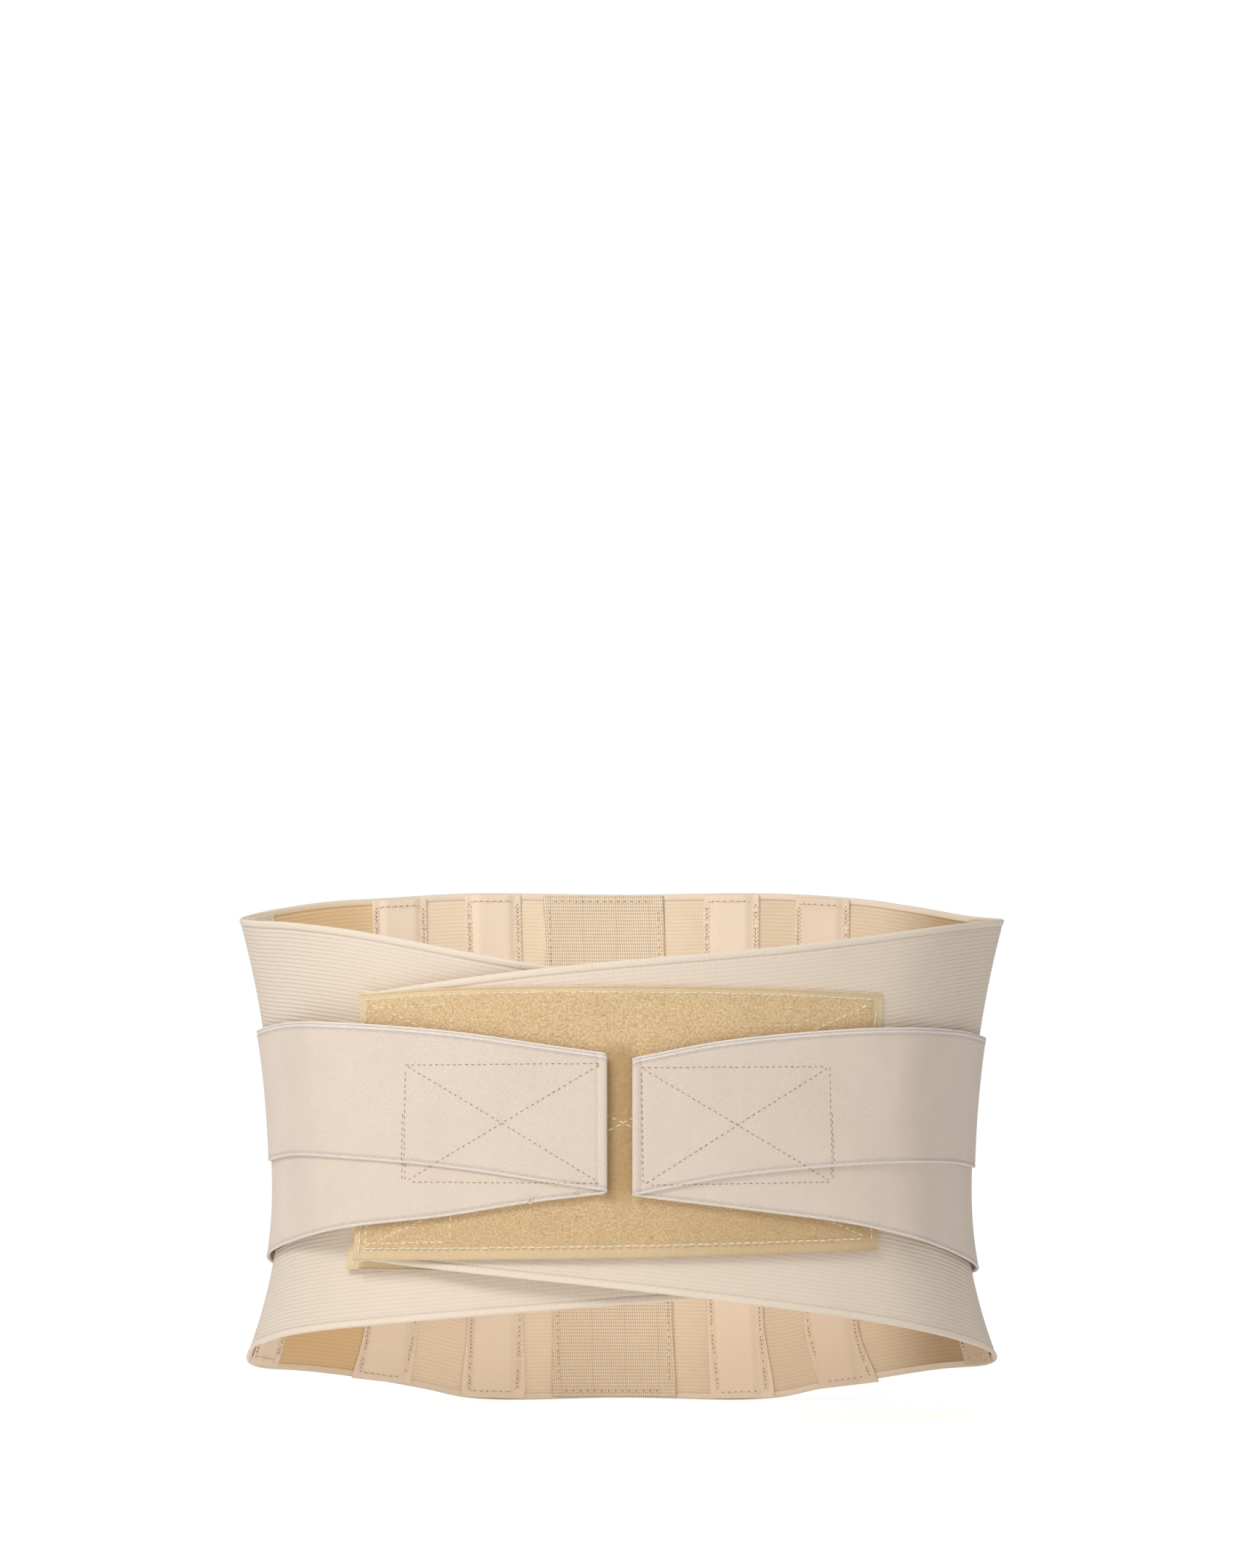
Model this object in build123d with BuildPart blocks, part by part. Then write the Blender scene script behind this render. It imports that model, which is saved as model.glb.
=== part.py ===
"""Lumbar support belt, closed as it sits on a waist.

Frame: millimetres, +Z up, origin at the centre of the waist opening at half the height of the back
panel. The closure faces -Y and the back panel is at +Y. Stations round the belt are angles t in
degrees: 0 at the middle of the back, 90 at the right side, 180 at the middle of the front, 270 at the
left side. Heights are z. Layers are offsets outward from the inner face of the lower band.
"""

import math
import os

from build123d import *

os.makedirs("parts", exist_ok=True)

# ---- the waist the belt is shaped to ----
WAIST_HALF_WIDTH = 165.4
WAIST_HALF_DEPTH = 92.0
WAIST_Z = -20.0
FLARE_UP = 0.001033
FLARE_DOWN = 0.00234
DEPTH_FLARE_SHARE = 0.45
GUIDE_HALF_WIDTH = 175.0
GUIDE_HALF_DEPTH = 100.0
FRONT_HALF_WIDTH = 180.0

# ---- stack of layers ----
BAND = 1.7
LAYER = 1.8
PAD = 1.7
HOOK = 1.0
STRAP = 1.4
STRAP_LAYER = 1.5
TAPE = 0.8
GAP = 0.3
SKIN_GAP = 0.1

# ---- heights and widths ----
BAND_WIDTH = 131.0
BAND_FREE_WIDTH = 125.0
STRAP_WIDTH = 63.5
SEAM_OVERLAP = 1.0

# ---- stations ----
PANEL_HINGE = 105.0
STRAP_HINGE = 75.0
LEFT_TAB_HINGE = 229.5
RIGHT_TAB_HINGE = 131.0
HALF_CUT = 0.12
ANCHOR = 26.0
ANCHOR_HALF = 7.0
STEP = 6.0
RIB_POINTS = 8

# ---- free ends at the front, as distances from the middle plane ----
RIGHT_PANEL_END = -125.0
LEFT_PANEL_END = 119.0
RIGHT_PAD = (-124.5, 121.5)
LEFT_PAD = (-131.5, 116.0)
RIGHT_HOOK = (-121.0, -74.0)
LEFT_TAB_END = -6.5
RIGHT_TAB_END = 5.0
LEFT_TAB_HOOK = (-99.0, -9.0)
RIGHT_TAB_HOOK = (9.5, 96.5)

# ---- stays and their pockets ----
STAY_WIDTH = 12.0
STAY_THICKNESS = 1.2
POCKET_WIDTH = 29.0
POCKET_BULGE = 1.7
BULGE_FLAT = 7.3
BULGE_FOOT = 11.5
BED_GAP = 0.25
BED_START = 3.0
BED_END = 45.0
POCKET_LEAN = 8.0
SIDE_POCKET = 79.0
SIDE_SINK = 0.25
POCKET_MARGIN = 1.0
STAY_MARGIN = 9.0
PATCH_HALF = 31.0
PATCH_X = -6.8
PATCH_TILT = -0.022
PATCH = 1.4


def curve(*points):
    """A smooth function through (station, value) points, level with its ends outside them."""
    xs = [p[0] for p in points]
    ys = [p[1] for p in points]
    rises = [(ys[i + 1] - ys[i]) / (xs[i + 1] - xs[i]) for i in range(len(xs) - 1)]
    inner = [(rises[i] + rises[i + 1]) / 2 for i in range(len(rises) - 1)]
    slopes = [rises[0], *inner, rises[-1]]

    def value(x):
        if x <= xs[0]:
            return ys[0] + slopes[0] * (x - xs[0])
        if x >= xs[-1]:
            return ys[-1] + slopes[-1] * (x - xs[-1])
        i = max(k for k in range(len(xs) - 1) if xs[k] <= x)
        h = xs[i + 1] - xs[i]
        u = (x - xs[i]) / h
        rest = 1 - u
        return (
            ys[i] * (1 + 2 * u) * rest**2
            + ys[i + 1] * (3 - 2 * u) * u**2
            + h * u * rest * (slopes[i] * rest - slopes[i + 1] * u)
        )

    return value


def ramp(x, start, end):
    """0 before start, 1 after end and smooth between."""
    u = min(max((x - start) / (end - start), 0.0), 1.0)
    return u * u * (3 - 2 * u)


def front(x):
    """The station of a point x from the middle plane on the front half."""
    return 180 - math.degrees(math.asin(x / FRONT_HALF_WIDTH))


def back(x):
    """The station of a point x from the middle plane on the back half."""
    return math.degrees(math.asin(x / GUIDE_HALF_WIDTH))


def frame_at(t):
    """Foot point and outward normal of the guide ellipse at station t."""
    s = math.sin(math.radians(t))
    c = math.cos(math.radians(t))
    nx = s / GUIDE_HALF_WIDTH
    ny = c / GUIDE_HALF_DEPTH
    length = math.hypot(nx, ny)
    return GUIDE_HALF_WIDTH * s, GUIDE_HALF_DEPTH * c, nx / length, ny / length


def reach(t, z, offset):
    """Distance along the guide normal at station t to the layer surface at height z."""
    x, y, nx, ny = frame_at(t)
    rise = z - WAIST_Z
    flare = (FLARE_UP if rise > 0 else FLARE_DOWN) * rise**2
    a = WAIST_HALF_WIDTH + flare + offset
    b = WAIST_HALF_DEPTH + DEPTH_FLARE_SHARE * flare + offset
    p = (nx / a) ** 2 + (ny / b) ** 2
    q = x * nx / a**2 + y * ny / b**2
    r = (x / a) ** 2 + (y / b) ** 2 - 1
    return (-q + math.sqrt(q * q - p * r)) / p


def point(t, z, offset):
    """A point of the layer surface."""
    x, y, nx, ny = frame_at(t)
    s = reach(t, z, offset)
    return x + s * nx, y + s * ny


def stations(t0, t1, step=STEP):
    """Evenly spaced stations from t0 to t1."""
    count = max(2, math.ceil(abs(t1 - t0) / step))
    return [t0 + (t1 - t0) * i / count for i in range(count + 1)]


def strip(t0, t1, low, high, offset, thickness, step=STEP):
    """A strip of cloth that runs round the belt from t0 to t1 between the edge heights low(t) and high(t)."""
    with BuildPart() as cloth:
        for t in stations(t0, t1, step):
            x, y, nx, ny = frame_at(t)
            z0 = low(t)
            z1 = high(t)
            heights = [z0 + (z1 - z0) * i / RIB_POINTS for i in range(RIB_POINTS + 1)]
            inside = [(reach(t, z, offset(t, z)), z) for z in heights]
            outside = [(reach(t, z, offset(t, z) + thickness), z) for z in heights]
            upright = Plane(origin=(x, y, 0), x_dir=(nx, ny, 0), z_dir=(ny, -nx, 0))
            with BuildSketch(upright):
                with BuildLine():
                    Spline(*inside)
                    Spline(*outside)
                    Line(inside[0], outside[0])
                    Line(inside[-1], outside[-1])
                make_face()
        loft()
    return cloth.part


def column(z0, z1, middle, half, inner, outer, levels=8, across=8):
    """An upright strip of cloth or metal: middle(z) is its station, half its half width in mm."""
    with BuildPart() as cloth:
        for i in range(levels + 1):
            z = z0 + (z1 - z0) * i / levels
            x0, y0 = point(middle(z) - 0.5, z, 0)
            x1, y1 = point(middle(z) + 0.5, z, 0)
            per_degree = math.hypot(x1 - x0, y1 - y0)
            places = [half * (2 * k / across - 1) for k in range(across + 1)]
            near = [point(middle(z) + u / per_degree, z, inner(u, z)) for u in places]
            far = [point(middle(z) + u / per_degree, z, outer(u, z)) for u in places]
            with BuildSketch(Plane.XY.offset(z)):
                with BuildLine():
                    Spline(*near)
                    Spline(*far)
                    Line(near[0], far[0])
                    Line(near[-1], far[-1])
                make_face()
        loft()
    return cloth.part


def save(builder, label):
    """Names a finished piece and writes it out."""
    builder.part.label = label
    export_step(builder.part, f"parts/{label}.step")


# ---- edges of the two wide bands, as heights over stations ----
back_top = curve(
    (-105, 108.5), (-90, 111.5), (-83, 113.5), (-68, 119), (-54, 124), (-43, 126.5), (-26, 130), (0, 130),
    (26, 130), (43, 126), (54, 121.5), (70, 115), (90, 111), (105, 108.5)
)
back_bottom = curve(
    (-105, -95), (-98, -97.5), (-88, -105), (-78, -109.5), (-60, -113.5), (-47, -118), (-35, -124),
    (-26, -129.5), (0, -130), (26, -129.5), (35, -124), (49, -117), (62, -112), (78, -108.5), (90, -104), (105, -97)
)
right_top = curve((105, 108.5), (123.6, 104), (155, 92.5), (188.3, 83), (224, 71))
right_bottom = curve((105, -97), (126, -88), (146, -79), (180, -66), (223, -53))
left_top = curve((138, 67), (160, 73), (188.3, 82), (224.4, 101), (240, 106), (255, 108.5))
left_bottom = curve((138, -57), (165, -70), (180, -73.5), (218, -83), (246, -91), (255, -95))


def band_width(t):
    """Width of a wide band: full at the back, drawn in towards its free end."""
    away = min(t, 360 - t) if t > 0 else -t
    return BAND_WIDTH - (BAND_WIDTH - BAND_FREE_WIDTH) * ramp(away, 60, 160)


def right_lift(t):
    """How far the right panel is raised to pass over the left one."""
    return (2 * LAYER + LAYER + HOOK + GAP + 2 * SKIN_GAP) * ramp(t, 108, 136)


def flat(offset):
    """A layer at one offset everywhere."""
    return lambda t, z: offset


# ---- back: two bands from side to side ----
with BuildPart() as upper_band_back:
    add(strip(
        -PANEL_HINGE + HALF_CUT,
        PANEL_HINGE - HALF_CUT,
        lambda t: back_top(t) - BAND_WIDTH,
        back_top,
        flat(LAYER),
        BAND,
    ))
save(upper_band_back, "upper_band_back")

with BuildPart() as lower_band_back:
    add(strip(
        -PANEL_HINGE + HALF_CUT,
        PANEL_HINGE - HALF_CUT,
        back_bottom,
        lambda t: back_bottom(t) + BAND_WIDTH,
        flat(0),
        BAND,
    ))
save(lower_band_back, "lower_band_back")

# ---- right front panel, over the left one ----
right_end = front(RIGHT_PANEL_END)
with BuildPart() as upper_band_right:
    add(strip(
        PANEL_HINGE + HALF_CUT,
        right_end,
        lambda t: right_top(t) - band_width(t),
        right_top,
        lambda t, z: right_lift(t) + LAYER,
        BAND,
    ))
save(upper_band_right, "upper_band_right")

with BuildPart() as lower_band_right:
    add(strip(
        PANEL_HINGE + HALF_CUT,
        right_end,
        right_bottom,
        lambda t: right_bottom(t) + band_width(t),
        lambda t, z: right_lift(t),
        BAND,
    ))
save(lower_band_right, "lower_band_right")

RIGHT_FACE = right_lift(180) + 2 * LAYER
right_pad_top = curve(
    (front(RIGHT_PAD[1]), 71), (front(60), 73.2), (front(-80), 73.2), (front(RIGHT_PAD[0]), 71)
)
right_pad_bottom = curve((front(RIGHT_PAD[1]), -48.5), (front(3), -51.5), (front(RIGHT_PAD[0]), -53.5))
with BuildPart() as loop_pad_right:
    add(strip(
        front(RIGHT_PAD[1]),
        front(RIGHT_PAD[0]),
        right_pad_bottom,
        right_pad_top,
        lambda t, z: right_lift(t) + 2 * LAYER,
        PAD,
    ))
save(loop_pad_right, "loop_pad_right")

with BuildPart() as hook_patch_right:
    add(strip(
        front(RIGHT_HOOK[1]),
        front(RIGHT_HOOK[0]),
        lambda t: -48,
        lambda t: 66,
        flat(right_lift(180) - HOOK - SKIN_GAP),
        HOOK,
    ))
save(hook_patch_right, "hook_patch_right")

# ---- left front panel, underneath ----
left_end = front(LEFT_PANEL_END)
with BuildPart() as upper_band_left:
    add(strip(
        left_end,
        360 - PANEL_HINGE - HALF_CUT,
        lambda t: left_top(t) - band_width(t),
        left_top,
        flat(LAYER),
        BAND,
    ))
save(upper_band_left, "upper_band_left")

with BuildPart() as lower_band_left:
    add(strip(
        left_end,
        360 - PANEL_HINGE - HALF_CUT,
        left_bottom,
        lambda t: left_bottom(t) + band_width(t),
        flat(0),
        BAND,
    ))
save(lower_band_left, "lower_band_left")

with BuildPart() as loop_pad_left:
    add(strip(front(LEFT_PAD[1]), front(LEFT_PAD[0]), lambda t: -58.0, lambda t: 65.0, flat(2 * LAYER), PAD))
save(loop_pad_left, "loop_pad_left")

# ---- pull straps: an upper and a lower one on each side, in rear, side and tab lengths ----
TAB_FACE = RIGHT_FACE + LAYER + HOOK + GAP + SKIN_GAP
SIDE_FACE = 2 * LAYER + GAP

left_upper_top = curve(
    (182.5, 43), (189.3, 46), (205, 53), (223.6, 57.5), (242, 59), (262, 56.5), (285, 57), (310, 62),
    (335, 70)
)
left_lower_bottom = curve(
    (182.5, -22), (193.2, -26), (207.1, -32.5), (225.3, -38), (237.6, -43), (262, -52), (285, -60), (335, -75)
)
right_upper_top = curve(
    (25, 70), (50, 62), (75, 54.5), (98, 53), (113.6, 55), (133.8, 55.5), (146.6, 54), (165.2, 48.5),
    (178.4, 40.6)
)
right_lower_bottom = curve(
    (25, -75), (75, -64), (100, -57.5), (126.9, -45), (144, -36), (161.2, -29.5), (178.4, -23)
)


def left_rise(t):
    """Offset of the inner face of the left lower strap."""
    rear = LAYER + GAP
    seat = TAB_FACE + (SIDE_FACE - TAB_FACE) * ramp(t, 226, 250)
    return seat + (rear - SIDE_FACE) * ramp(t, 310, 328)


def right_rise(t):
    """Offset of the inner face of the right lower strap."""
    rear = LAYER + GAP
    seat = rear + (SIDE_FACE - rear) * ramp(t, 32, 50)
    over_pad = TAB_FACE - right_lift(180) - SIDE_FACE
    return seat + right_lift(t) + over_pad * ramp(t, 120, 135)


def over_lower(t):
    """Extra offset of an upper strap, which lies on the lower one except at the back."""
    away = min(t, 360 - t)
    on_strap = (STRAP_LAYER - SKIN_GAP) * ramp(away, 40, 58)
    on_band = (LAYER - SKIN_GAP) * (1 - ramp(away, 32, 50))
    return SKIN_GAP + on_strap + on_band


def strap_pair(side, part, t0, t1, top, bottom, rise):
    """Makes one length of the upper and of the lower strap of a side."""
    with BuildPart() as upper:
        add(strip(
            t0, t1, lambda t: top(t) - STRAP_WIDTH, top, lambda t, z: rise(t) + over_lower(t), STRAP
        ))
    save(upper, f"strap_upper_{side}_{part}")
    with BuildPart() as lower:
        add(strip(t0, t1, bottom, lambda t: bottom(t) + STRAP_WIDTH, lambda t, z: rise(t), STRAP))
    save(lower, f"strap_lower_{side}_{part}")


left_cuts = (front(LEFT_TAB_END), LEFT_TAB_HINGE, 360 - STRAP_HINGE, 360 - ANCHOR)
for k, part in enumerate(("tab", "side", "rear")):
    t0 = left_cuts[k] + (HALF_CUT if k else 0)
    t1 = left_cuts[k + 1] - (HALF_CUT if k < 2 else 0)
    strap_pair("left", part, t0, t1, left_upper_top, left_lower_bottom, left_rise)

right_cuts = (ANCHOR, PANEL_HINGE, RIGHT_TAB_HINGE, front(RIGHT_TAB_END))
for k, part in enumerate(("rear", "side", "tab")):
    t0 = right_cuts[k] + (HALF_CUT if k else 0)
    t1 = right_cuts[k + 1] - (HALF_CUT if k < 2 else 0)
    strap_pair("right", part, t0, t1, right_upper_top, right_lower_bottom, right_rise)

for side, (x0, x1), z0, z1 in (("left", LEFT_TAB_HOOK, -16, 37), ("right", RIGHT_TAB_HOOK, -18, 35)):
    with BuildPart() as tab_hook:
        add(strip(
            front(x1),
            front(x0),
            lambda t, z=z0: z,
            lambda t, z=z1: z,
            flat(TAB_FACE - HOOK - SKIN_GAP),
            HOOK,
        ))
    save(tab_hook, f"tab_hook_{side}")


# ---- tapes that hold the rear ends of the straps ----
def anchor_bed(z):
    """Offset of the strap ends under the tape: the upper pair stands one band higher."""
    return 2 * LAYER + GAP + STRAP_LAYER - (LAYER - SKIN_GAP) * (1 - ramp(z, -10, 6))


for side, turn in (("left", -1), ("right", 1)):
    with BuildPart() as anchor_tape:
        add(column(
            -77,
            72,
            lambda z, s=turn: s * (ANCHOR + 1),
            9.0,
            lambda u, z: anchor_bed(z),
            lambda u, z: anchor_bed(z) + TAPE,
            levels=12,
        ))
    save(anchor_tape, f"anchor_tape_{side}")


# ---- inside of the back: centre patch, stay pockets and stays ----
def bed(z, seam):
    """Offset of what lies on the inside of the belt wall: above the seam the upper band is one layer out."""
    return LAYER * ramp(z, seam + BED_START, seam + BED_END) - BED_GAP


def bulge(u):
    """Height of the pocket tape over a stay, across the pocket."""
    return POCKET_BULGE * (1 - ramp(abs(u), BULGE_FLAT, BULGE_FOOT))


with BuildPart() as center_patch:
    add(column(
        back_bottom(0) + 0.5,
        back_top(0) - 0.5,
        lambda z: back(PATCH_X + PATCH_TILT * z),
        PATCH_HALF,
        lambda u, z: bed(z, SEAM_OVERLAP) - PATCH,
        lambda u, z: bed(z, SEAM_OVERLAP),
        levels=12,
    ))
save(center_patch, "center_patch")


def pocket(name, middle, z0, z1, sink=0):
    """A pocket of tape with its flat steel stay, sunk further inwards where the wall turns sharply."""
    seam = z0 + BAND_WIDTH
    with BuildPart() as tape:
        add(column(
            z0 + POCKET_MARGIN,
            z1 - POCKET_MARGIN,
            middle,
            POCKET_WIDTH / 2,
            lambda u, z: bed(z, seam) - sink - TAPE - bulge(u),
            lambda u, z: bed(z, seam) - sink - bulge(u),
            levels=12,
            across=14,
        ))
    save(tape, f"pocket_{name}")
    with BuildPart() as stay:
        add(column(
            z0 + STAY_MARGIN,
            z1 - STAY_MARGIN,
            middle,
            STAY_WIDTH / 2,
            lambda u, z: bed(z, seam) - sink - SKIN_GAP - STAY_THICKNESS,
            lambda u, z: bed(z, seam) - sink - SKIN_GAP,
            levels=12,
            across=4,
        ))
    save(stay, f"stay_{name}")


lean = POCKET_LEAN / (back_top(0) - back_bottom(0))
for name, x, tilt in (
    ("outer_left", -115.5, lean),
    ("inner_left", -65.7, 0),
    ("inner_right", 57.8, -lean / 2),
    ("outer_right", 105.0, -lean),
):
    t = back(x)
    pocket(name, lambda z, x=x, k=tilt: back(x + k * z), back_bottom(t), back_top(t))

for name, t in (("side_left", -SIDE_POCKET), ("side_right", SIDE_POCKET)):
    pocket(name, lambda z, t=t: t, back_bottom(t), back_top(t), SIDE_SINK)
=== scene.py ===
"""Lumbar support belt: the looks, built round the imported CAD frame."""

import math

import bpy
import mathutils
import numpy as np
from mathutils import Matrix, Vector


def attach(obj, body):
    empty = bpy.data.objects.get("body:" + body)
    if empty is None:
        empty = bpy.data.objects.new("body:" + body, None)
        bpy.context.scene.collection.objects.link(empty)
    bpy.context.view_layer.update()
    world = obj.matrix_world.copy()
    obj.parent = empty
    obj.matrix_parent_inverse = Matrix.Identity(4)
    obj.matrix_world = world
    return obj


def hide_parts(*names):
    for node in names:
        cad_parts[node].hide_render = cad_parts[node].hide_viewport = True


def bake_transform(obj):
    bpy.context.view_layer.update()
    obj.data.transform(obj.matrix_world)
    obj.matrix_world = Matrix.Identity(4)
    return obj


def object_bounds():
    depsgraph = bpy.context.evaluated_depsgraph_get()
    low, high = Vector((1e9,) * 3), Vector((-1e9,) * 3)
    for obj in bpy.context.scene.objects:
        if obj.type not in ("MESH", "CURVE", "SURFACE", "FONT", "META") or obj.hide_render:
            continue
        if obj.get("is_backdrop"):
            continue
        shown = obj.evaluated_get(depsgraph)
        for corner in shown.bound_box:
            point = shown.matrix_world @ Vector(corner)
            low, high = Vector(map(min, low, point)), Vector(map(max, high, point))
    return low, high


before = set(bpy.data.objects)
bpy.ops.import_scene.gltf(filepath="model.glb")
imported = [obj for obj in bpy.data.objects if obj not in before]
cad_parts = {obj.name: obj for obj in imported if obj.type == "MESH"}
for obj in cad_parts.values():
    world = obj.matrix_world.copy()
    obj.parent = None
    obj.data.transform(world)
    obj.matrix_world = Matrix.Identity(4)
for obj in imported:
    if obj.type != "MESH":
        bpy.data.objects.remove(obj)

CAD_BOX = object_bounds()
MM = 0.001
TAU = 2 * math.pi

# ---------------------------------------------------------------- shape of the waist, mm (as the CAD)
HALF_WIDTH, HALF_DEPTH, WAIST_Z = 165.4, 92.0, -20.0
FLARE_UP, FLARE_DOWN, DEPTH_FLARE = 0.001033, 0.00234, 0.45
GUIDE_A, GUIDE_B, FRONT_A = 175.0, 100.0, 180.0
LAYER, PAD, HOOK, STRAP, GAP, SKIN = 1.8, 1.7, 1.0, 1.4, 0.3, 0.1
BAND = 1.65
STRAP_WIDTH = 63.5
BAND_W, BAND_FREE = 131.0, 125.0
RIGHT_LIFT = 6.9
PAD_FACE = RIGHT_LIFT + 3 * LAYER
TAB_FACE = PAD_FACE + HOOK + GAP + SKIN
SIDE_FACE = 2 * LAYER + GAP
ARC_OFFSET = 4.0
THREAD_SIDES = 6


def ramp(x, start, end):
    u = np.clip((np.asarray(x, float) - start) / (end - start), 0, 1)
    return u * u * (3 - 2 * u)


def constant(value):
    return lambda first, *rest: value + 0 * first


def curve(*points):
    """A smooth function through (station, value) points."""
    xs, ys = np.array(points, float).T
    rise = np.diff(ys) / np.diff(xs)
    slope = np.concatenate([rise[:1], (rise[:-1] + rise[1:]) / 2, rise[-1:]])

    def value(x):
        x = np.asarray(x, float)
        c = np.clip(x, xs[0], xs[-1])
        i = np.clip(np.searchsorted(xs, c, side="right") - 1, 0, len(xs) - 2)
        h = xs[i + 1] - xs[i]
        u = (c - xs[i]) / h
        w = 1 - u
        smooth = ys[i] * (1 + 2 * u) * w**2 + ys[i + 1] * (3 - 2 * u) * u**2
        smooth = smooth + h * u * w * (slope[i] * w - slope[i + 1] * u)
        return smooth + np.where(x < xs[0], slope[0], slope[-1]) * (x - c)

    return value


def front(x):
    return 180 - np.degrees(np.arcsin(np.asarray(x, float) / FRONT_A))


def back(x):
    return np.degrees(np.arcsin(np.asarray(x, float) / GUIDE_A))


def foot(t):
    s, c = np.sin(np.radians(t)), np.cos(np.radians(t))
    nx, ny = s / GUIDE_A, c / GUIDE_B
    n = np.hypot(nx, ny)
    return GUIDE_A * s, GUIDE_B * c, nx / n, ny / n


def value_noise(x, y, seed):
    """Smooth noise from -1 to 1 on a lattice of spacing 1."""
    xi, yi = np.floor(x).astype(int), np.floor(y).astype(int)
    fx, fy = x - xi, y - yi
    fx, fy = fx * fx * (3 - 2 * fx), fy * fy * (3 - 2 * fy)

    def corner(i, j):
        h = (i * 374761393 + j * 668265263 + seed * 2147483647) & 0xFFFFFFFF
        h = ((h ^ (h >> 13)) * 1274126177) & 0xFFFFFFFF
        return ((h ^ (h >> 16)) & 0xFFFF) / 32767.5 - 1

    a, b = corner(xi, yi), corner(xi + 1, yi)
    c, d = corner(xi, yi + 1), corner(xi + 1, yi + 1)
    return (a * (1 - fx) + b * fx) * (1 - fy) + (c * (1 - fx) + d * fx) * fy


def drape(t, x, y, z):
    """Slow waves that every layer of the belt wall shares, in mm; the stays keep the back flatter."""
    free = ramp(np.minimum(t, 360 - t), 80, 130)
    slow = value_noise(x / 48, z / 50, 11) + value_noise(y / 35, z / 44, 12)
    return (0.10 + 0.30 * free) * slow + 0.12 * free * value_noise(x / 19, z / 24, 13)


def skin(t, z, offset):
    """Points, in metres, of the layer surface at stations t and heights z."""
    t, z, offset = np.broadcast_arrays(*(np.asarray(a, float) for a in (t, z, offset)))
    x, y, nx, ny = foot(t)
    offset = offset + drape(t, x, y, z)
    rise = z - WAIST_Z
    flare = np.where(rise > 0, FLARE_UP, FLARE_DOWN) * rise**2
    a, b = HALF_WIDTH + flare, HALF_DEPTH + DEPTH_FLARE * flare
    p = (nx / a) ** 2 + (ny / b) ** 2
    q = x * nx / a**2 + y * ny / b**2
    r = (x / a) ** 2 + (y / b) ** 2 - 1
    s = (-q + np.sqrt(q * q - p * r)) / p + offset
    return np.stack([x + s * nx, y + s * ny, z], -1) * MM


def on_face(t, z, offset, out=1.0):
    """Points in mm on a layer surface and their normals: outward, or inward where out is -1."""
    p = skin(t, z, offset) / MM
    return p, skin(t, z, offset + out) / MM - p


def run_length(p):
    """Distance along a path of points at each of its points."""
    return np.concatenate([[0], np.cumsum(np.linalg.norm(np.diff(p, axis=0), axis=1))])


def arc(ts):
    """Arc length in mm along stations ts at the waist's middle height."""
    return run_length(skin(ts, 0.0, ARC_OFFSET) / MM)


def mm_per_station(t, z):
    return np.linalg.norm(skin(t + 0.5, z, 0.0) - skin(t - 0.5, z, 0.0), axis=-1) / MM


def along_path(q, s, values):
    """Rows of values, given at the distances s, at the distances q."""
    return np.stack([np.interp(q, s, values[:, k]) for k in range(values.shape[1])], -1)


def stations(t0, t1, step=2.4, fine=(0, 0)):
    """Stations about step mm apart, closer together near an end that asks for it: 1 for 2 mm, 2 for 7 mm."""
    dense = np.linspace(t0, t1, 2000)
    s = arc(dense)
    at = np.linspace(0, s[-1], max(3, int(s[-1] / step)))
    near = np.array([0.05, 0.15, 0.35, 0.6, 0.9, 1.3, 1.8, 2.3, 2.8, 3.3, 3.7, 4.1, 4.5, 5.0, 5.8, 6.8])
    for end, sign, origin in ((fine[0], 1, 0), (fine[1], -1, s[-1])):
        at = np.concatenate([at, origin + sign * near[:(0, 7, 16)[end]]])
    return np.interp(np.unique(np.round(at, 3)), s, dense)


def front_stations(x_range, step):
    """Stations from the greater to the lesser x of a range across the front."""
    return stations(float(front(x_range[1])), float(front(x_range[0])), step, fine=(1, 1))


def across_cloth(w, lip, step, fine=5.0, fine_step=0.5):
    """Places from 0 to 1 across a cloth of width w, closer together near both edges."""
    near = np.arange(lip, fine, fine_step)
    middle = np.linspace(fine, w - fine, max(2, int((w - 2 * fine) / step) + 1))
    return np.concatenate([near, middle, w - near[::-1]]) / w


# ---------------------------------------------------------------- meshes
def make_mesh(name, points, faces, uv=None, flags=None, material=None, flat=0):
    """An object from arrays; uv and flags are per point; the last flat faces are flat."""
    points = np.asarray(points, np.float32).reshape(-1, 3)
    faces = np.asarray(faces, np.int32).reshape(-1, 4)
    mesh = bpy.data.meshes.new(name)
    mesh.vertices.add(len(points))
    mesh.vertices.foreach_set("co", points.ravel())
    mesh.loops.add(faces.size)
    mesh.loops.foreach_set("vertex_index", faces.ravel())
    mesh.polygons.add(len(faces))
    mesh.polygons.foreach_set("loop_start", np.arange(0, faces.size, 4, dtype=np.int32))
    mesh.polygons.foreach_set("use_smooth", np.arange(len(faces)) < len(faces) - flat)
    if uv is not None:
        layer = mesh.uv_layers.new(name="cloth")
        layer.data.foreach_set("uv", np.asarray(uv, np.float32).reshape(-1, 2)[faces.ravel()].ravel())
    for key, values in (flags or {}).items():
        a = mesh.attributes.new(key, "FLOAT", "POINT")
        a.data.foreach_set("value", np.asarray(values, np.float32).ravel())
    mesh.update(calc_edges=True)
    mesh.validate()
    obj = bpy.data.objects.new(name, mesh)
    bpy.context.scene.collection.objects.link(obj)
    if material:
        mesh.materials.append(material)
    return obj


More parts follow.
